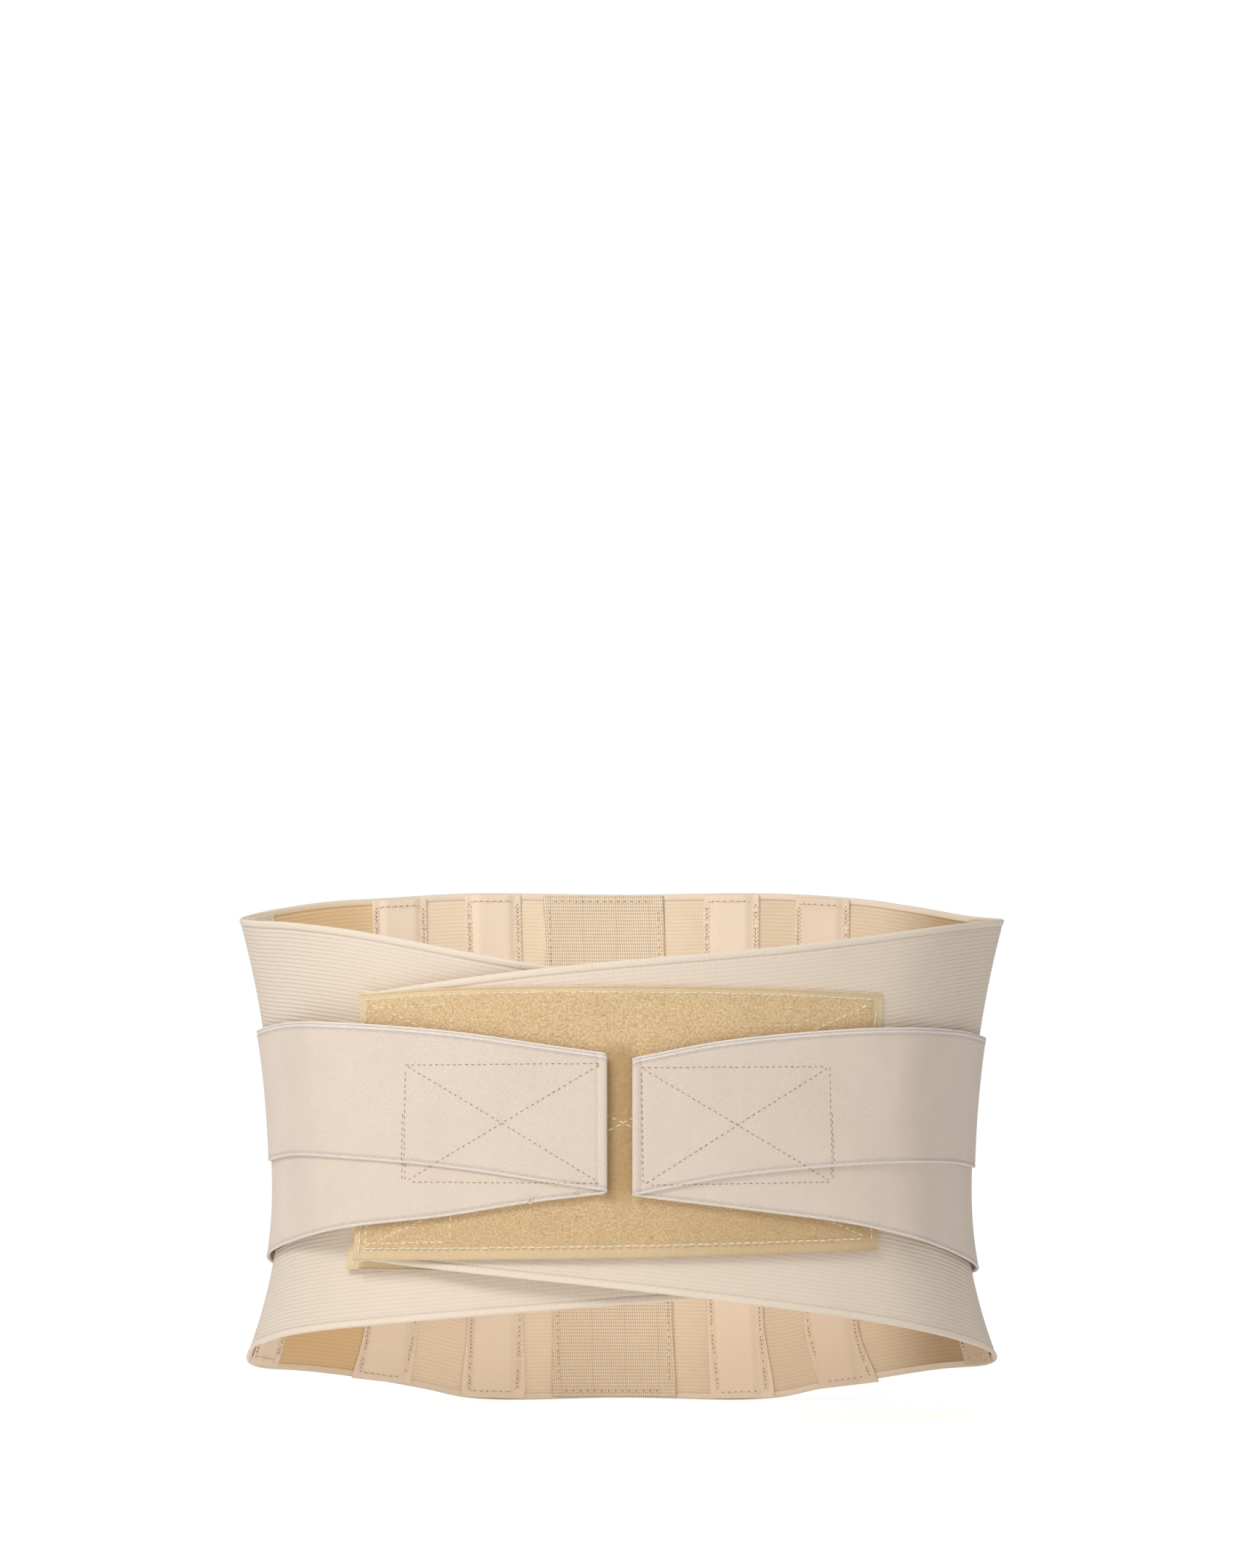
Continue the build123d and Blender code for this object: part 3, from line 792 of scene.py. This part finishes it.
for side, x_range, step, low, high, rise, brushed, pad_shade_rule, slant, flat in (
    ("right", PAD_X, 0.85, pad_bottom, pad_top, right_lift, right_brushed, pad_painted_shade, free_end_slant,
     (246, 126)),
    ("left", LEFT_PAD_X, 1.7, constant(-58), constant(65), constant(0), left_brushed, constant(0),
     left_pad_slant, (247.5, 123)),
):
    pad = strip(
        f"loop_pad_{side}_cloth", front_stations(x_range, step), low, high, lambda T, Z: rise(T) + 2 * LAYER,
        PAD_THICK, PILE_M, step=step, relief=pad_relief(brushed), ends=(0.5, 0.5),
        more={"brushed": brushed, "pad_painted_shade": pad_shade_rule}, slant=slant,
    )
    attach(pad, f"{side}_front")
    cloth(pad, [f"loop_pad_{side}"], "loop_pile", flat, "laid", [f"band_upper_{side}", f"band_lower_{side}"])


PAD_OUT = 2 * LAYER + PAD_THICK


def hairs(name, count, seed):
    """Loose fibres that lie on the right pad's pile as short curved threads."""
    rng = np.random.default_rng(seed)
    x = rng.uniform(PAD_X[0] + 3.5, PAD_X[1] - 3.5, count)
    low, high = pad_bottom(front(x)), pad_top(front(x))
    z = rng.uniform(low + 2, high - 2)
    heading = rng.normal(0.35, 0.9, count) + np.where(rng.uniform(size=count) < 0.5, 0, math.pi)
    length = rng.uniform(1.4, 3.6, count)
    bend = rng.normal(0, 0.9, count)
    lift = rng.uniform(0.05, 0.5, count)
    on_pile = right_brushed(front(x), z - low, high - low) > 0.6
    x, z, heading, length, bend, lift = (a[on_pile, None] for a in (x, z, heading, length, bend, lift))
    k = np.linspace(0, 1, 4)
    angle = (heading + bend * k)[:, :-1]
    px = x + np.concatenate([0 * x, np.cumsum(np.cos(angle) * length / 3, 1)], 1)
    pz = z + np.concatenate([0 * z, np.cumsum(np.sin(angle) * length / 3, 1)], 1)
    t = front(px)
    centre, out = on_face(t, pz, PAD_OUT + 0.10 + lift * np.sin(k * 2.6) + right_lift(t))
    side = np.cross(np.gradient(centre, axis=1), out)
    side /= np.maximum(np.linalg.norm(side, axis=2), 1e-6)[..., None]
    girth = 0.055 * np.array([0.8, 1.0, 0.9, 0.3])[None, :, None, None]
    turn = np.radians([90, 210, 330])[None, None, :, None]
    ring = out[:, :, None, :] * np.sin(turn) + side[:, :, None, :] * np.cos(turn)
    P = centre[:, :, None, :] + ring * girth
    tint = np.repeat(rng.uniform(0, 1, len(x)), 12)
    join_rows(name, [(P.reshape(-1, 3), tube_faces(len(x), 4, 3), tint)], FIBRE, "right_front")


hairs("pile_fibres_right", 3200, 5)


# ---------------------------------------------------------------- pull straps
def strap_shift(side):
    """Slack of a strap pair where it leaves the tab, in mm; both straps share it."""
    seed = 41 if side == "left" else 42

    def shift(t, z):
        a = np.minimum(t, 360 - t)
        free = ramp(a, 92, 112) * (1 - ramp(a, 138, 158))
        wave = value_noise(a / 7.5, z / 34 + a / 30, seed) + 0.5 * value_noise(a / 3.6, z / 15, seed + 5)
        return free * (0.45 + 0.45 * wave)
    return shift


def from_tip(t, tip):
    """Distance in mm from a tab's folded end."""
    return 30.0 + 0 * t if tip is None else np.abs(front_x(t) - front_x(tip))


def corner(t, tip):
    """How far the rounded corner of a folded end cuts into the strap's edge."""
    near = np.clip(from_tip(t, tip) / 2.2, 0, 1)
    return 1.7 * (1 - np.sqrt(1 - (1 - near) ** 2))


def strap_relief(level, shift, low, tip):
    """Selvedge beads, double along the upper strap's top edge, and the roll of a folded end."""
    def relief(t, d, w, outer):
        away, far = from_tip(t, tip), w - d
        roll = np.where(outer > 0.5, ridge(away, 1.8, 1.6, 0.5) - ridge(away, 4.4, 0.6, 0.35), 0)
        side = np.sign(outer - 0.5)
        if level == "upper":
            beads = ridge(far, 0.55, 0.42, 0.17) + ridge(far, 2.0, 0.7, 0.20) - ridge(far, 1.15, 0.2, 0.2)
            top = side * beads
            bottom = np.where(side > 0, ridge(d, 0.8, 0.6, 0.25) - ridge(d, 1.7, 0.3, 0.15), 0)
        else:
            top = np.where(side < 0, -ridge(far, 0.8, 0.6, 0.2), 0)
            bottom = side * (ridge(d, 0.8, 0.6, 0.22) - ridge(d, 1.7, 0.3, 0.15))
        return top + bottom + roll + shift(t, low(t) + d)
    return relief


def left_rise(t):
    seat = TAB_FACE + (SIDE_FACE - TAB_FACE) * ramp(t, 226, 250)
    return seat + (LAYER + GAP - SIDE_FACE) * ramp(t, 310, 328)


def right_rise(t):
    seat = LAYER + GAP + (SIDE_FACE - LAYER - GAP) * ramp(t, 32, 50)
    return seat + right_lift(t) + (TAB_FACE - RIGHT_LIFT - SIDE_FACE) * ramp(t, 120, 135)


def over_lower(t):
    """How far the upper strap lies outside the lower one."""
    away = np.minimum(t, 360 - t)
    return SKIN + STRAP * ramp(away, 40, 58) + (LAYER - SKIN) * (1 - ramp(away, 32, 50))


def strap_layer(side, level):
    """Offset of a strap's inner face, as a function of station and height."""
    rise = left_rise if side == "left" else right_rise
    return (lambda T, Z: rise(T) + over_lower(T)) if level == "upper" else (lambda T, Z: rise(T))


STRAP_THICK = STRAP - 0.05
SWING_X, SWING_Y, SWING_REACH = -0.17235, 0.02744, 0.015
LEFT_SWING = ((SWING_X, SWING_Y + SWING_REACH, 0), (SWING_X, SWING_Y - SWING_REACH, 0))
TAB_ALONG = (0.0100, -0.0067)
LEFT_PEEL = tuple((-0.13987 + k * TAB_ALONG[0], -0.07511 + k * TAB_ALONG[1], 0) for k in (-1, 1))
RIGHT_PEEL = tuple((0.13867 - k * TAB_ALONG[0], -0.07564 + k * TAB_ALONG[1], 0) for k in (-1, 1))
MEETS = {"left": 257.0, "right": 118.5}
TIPS = {"left": float(front(-6.5)), "right": float(front(5))}
STRAP_EDGES = {
    "left": {"upper": left_upper_top, "lower": left_lower_bottom},
    "right": {"upper": right_upper_top, "lower": right_lower_bottom},
}
for side, part, t0, t1, fine, bodies, turn in (
    ("left", "tab", TIPS["left"], MEETS["left"], (2, 1), ("left_strap_side", "left_tab"), LEFT_PEEL),
    ("left", "rear", MEETS["left"], 334.0, (1, 1), ("back", "left_strap_side"), LEFT_SWING),
    ("right", "rear", 26.0, MEETS["right"], (1, 1), ("back", "right_front"), RIGHT_TURN),
    ("right", "tab", MEETS["right"], TIPS["right"], (1, 2), ("right_front", "right_tab"), RIGHT_PEEL),
):
    from_meeting = t0 == MEETS[side]
    tip = TIPS[side] if part == "tab" else None
    ts = stations(t0, t1, 2.2, fine=fine)
    for level, inwards in (("upper", -1), ("lower", 1)):
        edge = STRAP_EDGES[side][level]
        outer_edge = (lambda t, e=edge, k=inwards, tip=tip: e(t) + k * corner(t, tip))
        inner_edge = (lambda t, e=edge, k=inwards: e(t) + k * STRAP_WIDTH)
        low, high = (inner_edge, outer_edge) if level == "upper" else (outer_edge, inner_edge)
        obj = strip(
            f"strap_{level}_{side}_{part}_cloth", ts, low, high, strap_layer(side, level), STRAP_THICK,
            STRAP_M, step=3.5, relief=strap_relief(level, strap_shift(side), low, tip),
            u_zero=int(from_meeting), ends=(0, STRAP / 2) if from_meeting else (STRAP / 2, 0),
        )
        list(bodies)
        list(turn)
        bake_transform(obj)
        cloth(obj, [f"strap_{level}_{side}_{k}" for k in (part, "side")], "strap_elastic",
              (arc(ts)[-1], STRAP_WIDTH), "stretched")


# ---------------------------------------------------------------- inside of the back
ALL_BANDS = [f"band_{level}_{side}" for side in ("right", "left") for level in ("upper", "lower")]
TAPE_THICK = 0.75
POCKET_HALF, POCKET_SEAM, HEM_STITCH = 14.5, 12.6, 3.4
SIDE_POCKET = 79.0
LEAN = 8.0 / 260


def bed(z, seam):
    """Offset of the face that a pocket or the patch lies on, which steps up where the upper band starts."""
    return LAYER * ramp(z, seam + 3, seam + 45) - 0.25


def bulge(u):
    """How far a stay pushes its pocket out."""
    return 1.7 * (1 - ramp(np.abs(u), 7.3, 11.5))


def hemmed(z0, z1, depth):
    """Relief of a hem folded under at both ends; inner faces move towards the waist."""
    def relief(u, z, outer):
        near_end = np.minimum(z - z0, z1 - z)
        fold = 0.55 * (1 - ramp(near_end, depth, depth + 1.2))
        seam_pull = ridge(near_end, 3.4, 0.8, 0.30)
        return np.where(outer < 0.5, seam_pull - fold, 0)
    return relief


def kicked(z, kick):
    return kick * ramp(-z, 92, 128)


def pocket_middle(x, tilt, kick):
    """Station of a pocket's middle line; its lower end is kicked sideways by kick mm."""
    return lambda z: back(x + tilt * z + kicked(z, kick))


POCKETS = []
for name, x, tilt, kick in (("outer_left", -115.5, LEAN, -2.0), ("inner_left", -65.7, 0.0, 0.0),
                            ("inner_right", 57.8, -LEAN / 2, 1.5), ("outer_right", 105.0, -LEAN, 6.0)):
    POCKETS.append((name, pocket_middle(x, tilt, kick), kick, float(back(x))))
POCKETS.append(("side_left", constant(-SIDE_POCKET), 0.0, -SIDE_POCKET))
POCKETS.append(("side_right", constant(SIDE_POCKET), 0.0, SIDE_POCKET))


def inside_path(middle, us, zs, lift):
    """Straight path in mm on the inside of the back from one (u, z) to another; lift(u, z) is its offset."""
    u, z = np.linspace(*us, 61), np.linspace(*zs, 61)
    m = middle(z)
    return on_face(m + u / mm_per_station(m, z), z, lift(u, z), -1.0)


def single_stitch(a, b, normal, radius, lift, rng):
    """One bar of thread from a to b."""
    span = np.linalg.norm(b - a)
    return stitch_row([a, b], [normal, normal], span * 0.98, span, radius, lift=lift, jitter=0,
                      seed=int(rng.integers(1e6)))


class Sewing:
    """Thread and the dark blobs beside it, painted shade where the thread sinks in, joined at the end into
    two pieces.
    """

    def __init__(self):
        self.threads, self.shade_dots = [], []

    def ladder(self, middle, u, z0, z1, lift, seed, pitch=2.1):
        """Short thread bars across both sides of an edge seam, and painted shade between them."""
        rng = np.random.default_rng(seed)
        p, n = inside_path(middle, [u, u], [z0, z1], lift)
        s = run_length(p)
        at = np.arange(1.0, s[-1] - 1.0, pitch)
        for q in at + rng.uniform(-0.22, 0.22, len(at)):
            c, v = along_path(q, s, p), along_path(q, s, n)
            v /= np.linalg.norm(v)
            along = along_path(q + 0.5, s, p) - c
            along /= max(np.linalg.norm(along), 1e-6)
            cross = np.cross(v, along)
            for sign in (-1, 1):
                a = c + cross * sign * 0.35 + along * rng.uniform(-0.2, 0.2)
                b = c + cross * sign * rng.uniform(1.35, 1.8) + along * rng.uniform(-0.25, 0.25)
                self.threads.append(single_stitch(a, b, v, 0.42, 0.2, rng))
            if rng.uniform() < 0.8:
                self.shade_dots.append(single_stitch(c + along * 0.55, c + along * 1.45, v, 0.24, 0.0, rng))

    def run(self, path, pitch, length, radius, seed):
        """A running stitch, and painted shade in its gaps."""
        gap = pitch - length
        self.threads.append(stitch_row(*path, pitch, length, radius, lift=0.12, seed=seed))
        self.shade_dots.append(stitch_row(*path, pitch, gap * 0.8, radius * 0.85, lift=-0.08, seed=seed,
                                    phase=length + gap * 0.1))

    def join(self, name):
        return [join_rows(f"{name}_stitching", self.threads, PALE, "back"),
                join_rows(f"{name}_painted_stitch_shade", self.shade_dots, STITCH_SHADE, "back")]


def pocket_slopes(middle):
    """Rise of the belt's lower and upper edges across a pocket, in mm per mm."""
    found = []
    for z, right_edge, left_edge in ((-120.0, right_bottom, left_bottom), (120.0, right_top, left_top)):
        t = float(middle(np.array(z))) % 360
        edge = left_edge if t > 180 else right_edge
        run = np.linalg.norm(skin(t + 1.0, z, 0.0) - skin(t - 1.0, z, 0.0)) / MM
        found.append(0.8 * float(edge(t + 1) - edge(t - 1)) / run)
    return tuple(found)


# painted shade on the pockets towards the right side, as shares of a darker colour
POCKET_PAINTED_SHADE = {"inner_right": 0.15, "outer_right": 0.35, "side_right": 0.9}
for seed, (name, middle, kick, t) in enumerate(POCKETS, 1):
    bottom, top = (left_bottom, left_top) if t < 0 else (right_bottom, right_top)
    low, high = float(bottom(t % 360)), float(top(t % 360))
    z0, z1 = low + 1, high - 1
    seam = low + BAND_W
    slopes = pocket_slopes(middle)

    def over_stay(u, z, seam=seam, kick=kick):
        return bed(z, seam) - bulge(u + kicked(z, kick))

    pocket = upright(
        f"pocket_{name}_cloth", z0, z1, middle, POCKET_HALF, lambda U, Z: over_stay(U, Z) - TAPE_THICK,
        TAPE_THICK, TAPE_M, relief=hemmed(z0, z1, 5.0), flare=2.4, painted_shade_share=POCKET_PAINTED_SHADE.get(name, 0.0),
        slopes=slopes,
    )
    sewing = Sewing()
    for sign in (-1, 1):
        sewing.ladder(middle, sign * POCKET_SEAM, z0 + 3.5, z1 - 3.5, lambda u, z: bed(z, seam) - 0.95,
                      seed * 10 + sign)
    for z, slope in ((z0 + HEM_STITCH, slopes[0]), (z1 - HEM_STITCH, slopes[1])):
        path = inside_path(middle, [-12.5, 12.5], [z - 12.5 * slope, z + 12.5 * slope],
                           lambda u, z: over_stay(u, z) - 1.2)
        sewing.run(path, 3.4, 2.5, 0.34, seed * 100 + int(z > 0))
    cloth(pocket, [f"pocket_{name}"], "pocket_tape", (2 * POCKET_HALF, z1 - z0), "stretched", ALL_BANDS,
          sewing.join(f"pocket_{name}"))

# centre patch
PATCH_Z = (-129.5, 129.5)
PATCH_HALF, PATCH_THICK, PATCH_SEAM = 31.0, 1.35, 28.0
PATCH_STITCH_Z = 126.2


def patch_middle(z):
    return back(-6.8 - 0.022 * z)


patch = upright(
    "center_patch_cloth", *PATCH_Z, patch_middle, PATCH_HALF, lambda U, Z: bed(Z, 1.0) - PATCH_THICK,
    PATCH_THICK, PATCH_M, step=2.0, across=2.0, relief=hemmed(*PATCH_Z, 7.0), flare=1.3,
)
sewing = Sewing()
for u in (-PATCH_SEAM, PATCH_SEAM):
    path = inside_path(patch_middle, [u * 1.03, u], [-126, 126], lambda u, z: bed(z, 1.0) - 1.42)
    sewing.run(path, 3.6, 2.6, 0.28, 71 + int(u))
for z in (-PATCH_STITCH_Z, PATCH_STITCH_Z):
    path = inside_path(patch_middle, [-PATCH_SEAM, PATCH_SEAM], [z, z], lambda u, z: bed(z, 1.0) - 1.75)
    sewing.run(path, 3.6, 2.7, 0.36, 75 + int(z > 0))
cloth(patch, ["center_patch"], "patch_webbing", (2 * PATCH_HALF, PATCH_Z[1] - PATCH_Z[0]), "stretched",
      ALL_BANDS, sewing.join("center_patch"))


# ---------------------------------------------------------------- stitching on the front
def front_path(points, offset, slant=None):
    """Path in mm through (x, z) points on a layer of the front."""
    corners = np.array(points, float)
    s = run_length(corners)
    x, z = along_path(np.linspace(0, s[-1], max(12, int(s[-1]))), s, corners).T
    t = front(x)
    return on_face(t if slant is None else t + slant(t, z), z, offset(t, z))


def sew(name, paths, offset, body, material, pitch, length, radius, seed, lift=0.1, slant=None):
    """One piece of running stitches along (x, z) paths on a layer of the front."""
    rows = [stitch_row(*front_path(points, offset, slant), pitch, length, radius, lift=lift, seed=seed + k,
                       phase=0.3 * k % pitch) for k, points in enumerate(paths)]
    join_rows(name, rows, material, body)


def pad_edge(inset, top=True):
    """(x, z) points along the right pad's top or bottom edge."""
    xs = np.linspace(PAD_X[0] + inset, PAD_X[1] - inset, 30)
    zs = pad_top(front(xs)) - inset if top else pad_bottom(front(xs)) + inset
    return list(zip(xs, zs))


PAD_STITCH = (CREAM, 3.7, 2.9, 0.34)
x0, x1 = PAD_X
rows = [
    pad_edge(3.0), pad_edge(5.6, False),
    [(x0 + 3.2, -50), (x0 + 3.2, 67)], [(x1 - 3.4, -44.5), (x1 - 3.4, 67)],
    [(x0 + 6.0, -47), (x0 + 6.0, 64.5)], [(x0 + 5.0, -45.5), (-80, -44.5)], [(x0 + 5.0, 64), (-79.5, 65.5)],
    [(-79.5, -44.5), (-79.5, 66)],
    [(x0 + 4, 67), (x1 - 4, -43.5)], [(x0 + 4, -48), (x1 - 4, 67)],
]
sew("pad_right_stitching", rows, lambda t, z: right_lift(t) + PAD_OUT - 0.15, "right_front", *PAD_STITCH, 81,
    slant=free_end_slant)
x0 = LEFT_PAD_X[0]
rows = [[(x0 + 3, -53.5), (112, -53.5)], [(x0 + 4.3, -56), (x0 + 4.3, 62)], [(x0 + 3, 62), (112, 62)],
        [(113, -55), (113, 62)]]
sew("pad_left_stitching", rows, lambda t, z: PAD_OUT - 0.55 + 0 * t, "left_front", *PAD_STITCH, 101,
    slant=left_pad_slant)

for side, (a, b, c, d), outer_x, seed in (
    ("left", ((-99, 37.5), (-9, 37.9), (-9.8, -17), (-100.6, -16.6)), -102.0, 121),
    ("right", ((9, 36), (95.6, 36.8), (97.5, -16.6), (10, -18)), 98.4, 131),
):
    def tab_face(t, z, over=strap_layer(side, "upper"), under=strap_layer(side, "lower"),
                 edge=STRAP_EDGES[side]["upper"], shift=strap_shift(side)):
        on_upper = ramp(z, edge(t) - STRAP_WIDTH - 0.2, edge(t) - STRAP_WIDTH + 0.2)
        return under(t, z) + (over(t, z) - under(t, z)) * on_upper + STRAP_THICK + shift(t, z)

    paths = [[a, b], [b, c], [c, d], [d, a], [a, c], [b, d], [(outer_x, -16.8), (outer_x * 0.985, 17)]]
    sew(f"tab_{side}_stitching", paths, tab_face, f"{side}_tab", TAN, 2.9, 1.75, 0.22, seed, lift=0.06)


# loops of thread pulled out at the left tab's lower edges
loops = []
for k, (x, z, radius, edge) in enumerate(((-21.5, -19.5, 1.0, "upper"), (-42.0, -25.0, 1.2, "lower"))):
    a = np.linspace(-0.9, math.pi * 1.75, 15)
    xs, zs = x + radius * 0.75 * np.cos(a), z + radius * 1.25 * np.sin(a)
    t = front(xs)
    p, n = on_face(t, zs, strap_layer("left", edge)(t, zs) + STRAP_THICK + 0.8 + strap_shift("left")(t, zs))
    for i in range(len(a) - 1):
        loops.append(single_stitch(p[i], p[i + 1], n[i], 0.3, 0.0, np.random.default_rng(900 + k)))
join_rows("tab_left_loose_thread", loops, CREAM, "left_tab")


# ---------------------------------------------------------------- hooks
HOOK_BASE, HOOK_PITCH = 0.35, 1.7


def hooks(node, body, x_range, z_range, back_face, seed):
    """A moulded hook patch: a thin base with rows of bent hooks that face the waist."""
    name = f"{node}_cloth"
    root = back_face - SKIN - HOOK_BASE
    base = strip(
        name, front_stations(x_range, 3), constant(z_range[0]), constant(z_range[1]), constant(root),
        HOOK_BASE, HOOK_M, ends=(0.3, 0.3),
    )
    rng = np.random.default_rng(seed)
    columns, rows = (np.arange(r[0] + 1.2, r[1] - 1.0, HOOK_PITCH) for r in (x_range, z_range))
    X, Z = (g.ravel() for g in np.meshgrid(columns, rows))
    X = X + rng.uniform(-0.1, 0.1, len(X))
    lean = np.where((np.arange(len(X)) % 2) == 0, 1.0, -1.0)
    P = []
    for up, over, half in ((0.02, 0.0, 0.17), (0.34, 0.05, 0.136), (0.54, 0.24, 0.119), (0.5, 0.42, 0.085)):
        for dx, dz in ((-half, -half), (half, -half), (half, half), (-half, half)):
            P.append(skin(front(X + dx), Z + dz + lean * over, root - up))
    P = np.stack(P, 1)
    ring = np.array([[0, 1, 5, 4], [1, 2, 6, 5], [2, 3, 7, 6], [3, 0, 4, 7]])
    one = np.concatenate([ring, ring + 4, ring + 8, [[12, 13, 14, 15]]])
    faces = (one[None] + (np.arange(len(X)) * 16)[:, None, None]).reshape(-1, 4)
    tint = np.repeat(rng.uniform(0, 1, len(X)), 16)
    field = make_mesh(name + "_hooks", P.reshape(-1, 3), faces, None, {"tint": tint}, HOOK_FIELD)
    for obj in (base, field):
        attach(obj, body)
    cloth(base, [node], "hook_tape", (x_range[1] - x_range[0], z_range[1] - z_range[0]), "laid", (), [field])


hooks("hook_patch_right", "right_front", (-121, -74), (-48, 66), RIGHT_LIFT, 151)
hooks("tab_hook_left", "left_tab", (-99, -9), (-16, 37), TAB_FACE, 152)
hooks("tab_hook_right", "right_tab", (9.5, 96.5), (-18, 35), TAB_FACE, 153)


# ---------------------------------------------------------------- tapes over the rear ends of the straps
def anchor_bed(u, z):
    """Offset of the straps' outer face, which is lower below where the upper strap ends."""
    return 2 * LAYER + GAP + STRAP + SKIN - (LAYER - SKIN) * (1 - ramp(z, -10, 6))


for side, t in (("left", -27.0), ("right", 27.0)):
    tape = upright(f"anchor_tape_{side}_cloth", -77, 72, constant(t), 9.0, anchor_bed, TAPE_THICK, TAPE_M)
    sewing = Sewing()
    for u in (-7.0, 7.0):
        p, n = inside_path(constant(t), [u, u], [-75, 70], lambda u, z: anchor_bed(u, z) + 0.78)
        sewing.run((p, -n), 3.2, 2.3, 0.26, 161 + int(u))
    straps = [f"strap_{level}_{side}_rear_cloth" for level in ("upper", "lower")]
    cloth(tape, [f"anchor_tape_{side}"], "anchor_tape", (18, 149), "stretched", straps,
          sewing.join(f"anchor_tape_{side}"))

# ---------------------------------------------------------------- stays keep their CAD shape
for name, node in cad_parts.items():
    if name.startswith("stay_"):
        node.data.materials.clear()
        node.data.materials.append(STEEL)


# ---------------------------------------------------------------- floor, light and camera
def area_light(name, place, size, power, color=(1, 1, 1), at=(0, 0, 0)):
    data = bpy.data.lights.new(name, "AREA")
    data.shape = "RECTANGLE"
    data.size, data.size_y = size
    data.energy = power
    data.color = color
    obj = bpy.data.objects.new(name, data)
    bpy.context.scene.collection.objects.link(obj)
    obj.location = place
    aim = mathutils.Vector(at) - mathutils.Vector(place)
    obj.rotation_euler = aim.to_track_quat("-Z", "Y").to_euler()


def by_camera(tree, socket, seen, unseen):
    """Sets a socket to one number for the camera's own rays and to another for all other light."""
    strength = tree.nodes.new("ShaderNodeMapRange")
    strength.inputs["To Min"].default_value = unseen
    strength.inputs["To Max"].default_value = seen
    rays = tree.nodes.new("ShaderNodeLightPath")
    tree.links.new(rays.outputs["Is Camera Ray"], strength.inputs["Value"])
    tree.links.new(strength.outputs[0], socket)


FLOOR_HALF, FLOOR_GAP = 30, 0.0005
square = np.array([(-1, -1, 0), (1, -1, 0), (1, 1, 0), (-1, 1, 0)])
floor = make_mesh("floor", FLOOR_HALF * square, [[0, 1, 2, 3]])
floor.location.z = CAD_BOX[0][2] - FLOOR_GAP
white = bpy.data.materials.new("pale floor")
white.use_nodes = True
paint = white.node_tree.nodes["Principled BSDF"]
paint.inputs["Base Color"].default_value = (0.93, 0.93, 0.93, 1)
paint.inputs["Roughness"].default_value = 0.7
paint.inputs["Emission Color"].default_value = (1, 1, 1, 1)
by_camera(white.node_tree, paint.inputs["Emission Strength"], 0.6, 0.1)
floor.data.materials.append(white)
floor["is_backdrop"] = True

area_light("key", (-0.75, -1.15, 1.15), (0.7, 0.6), 12.7, (1.0, 0.985, 0.96))
area_light("low", (-0.5, -2.0, -0.02), (1.4, 0.2), 2.5, (1.0, 0.99, 0.97))
area_light("top", (-0.2, -0.5, 1.8), (1.0, 1.0), 2)
area_light("inside", (-0.03, -0.07, 0.0), (0.2, 0.07), 0.065, (0.95, 0.98, 1.0), at=(-0.03, 1.0, 0.0))

world = bpy.data.worlds.new("studio")
bpy.context.scene.world = world
world.use_nodes = True
background = world.node_tree.nodes["Background"]
background.inputs["Color"].default_value = (1, 1, 1, 1)
by_camera(world.node_tree, background.inputs["Strength"], 1.0, 0.44)

camera_data = bpy.data.cameras.new("camera")
camera_data.lens = 84.6
camera_data.sensor_width = 36
camera_data.shift_y = 0.231
camera_data.clip_end = 100
camera = bpy.data.objects.new("camera", camera_data)
bpy.context.scene.collection.objects.link(camera)
camera.location = (0.0028, -1.8, 0.0)
camera.rotation_euler = (math.radians(90), 0, 0)
bpy.context.scene.camera = camera
bpy.context.scene.view_settings.view_transform = "Standard"

boxes = {"cad": CAD_BOX, "visual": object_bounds()}
boxes = {name: [list(map(float, corner)) for corner in box] for name, box in boxes.items()}
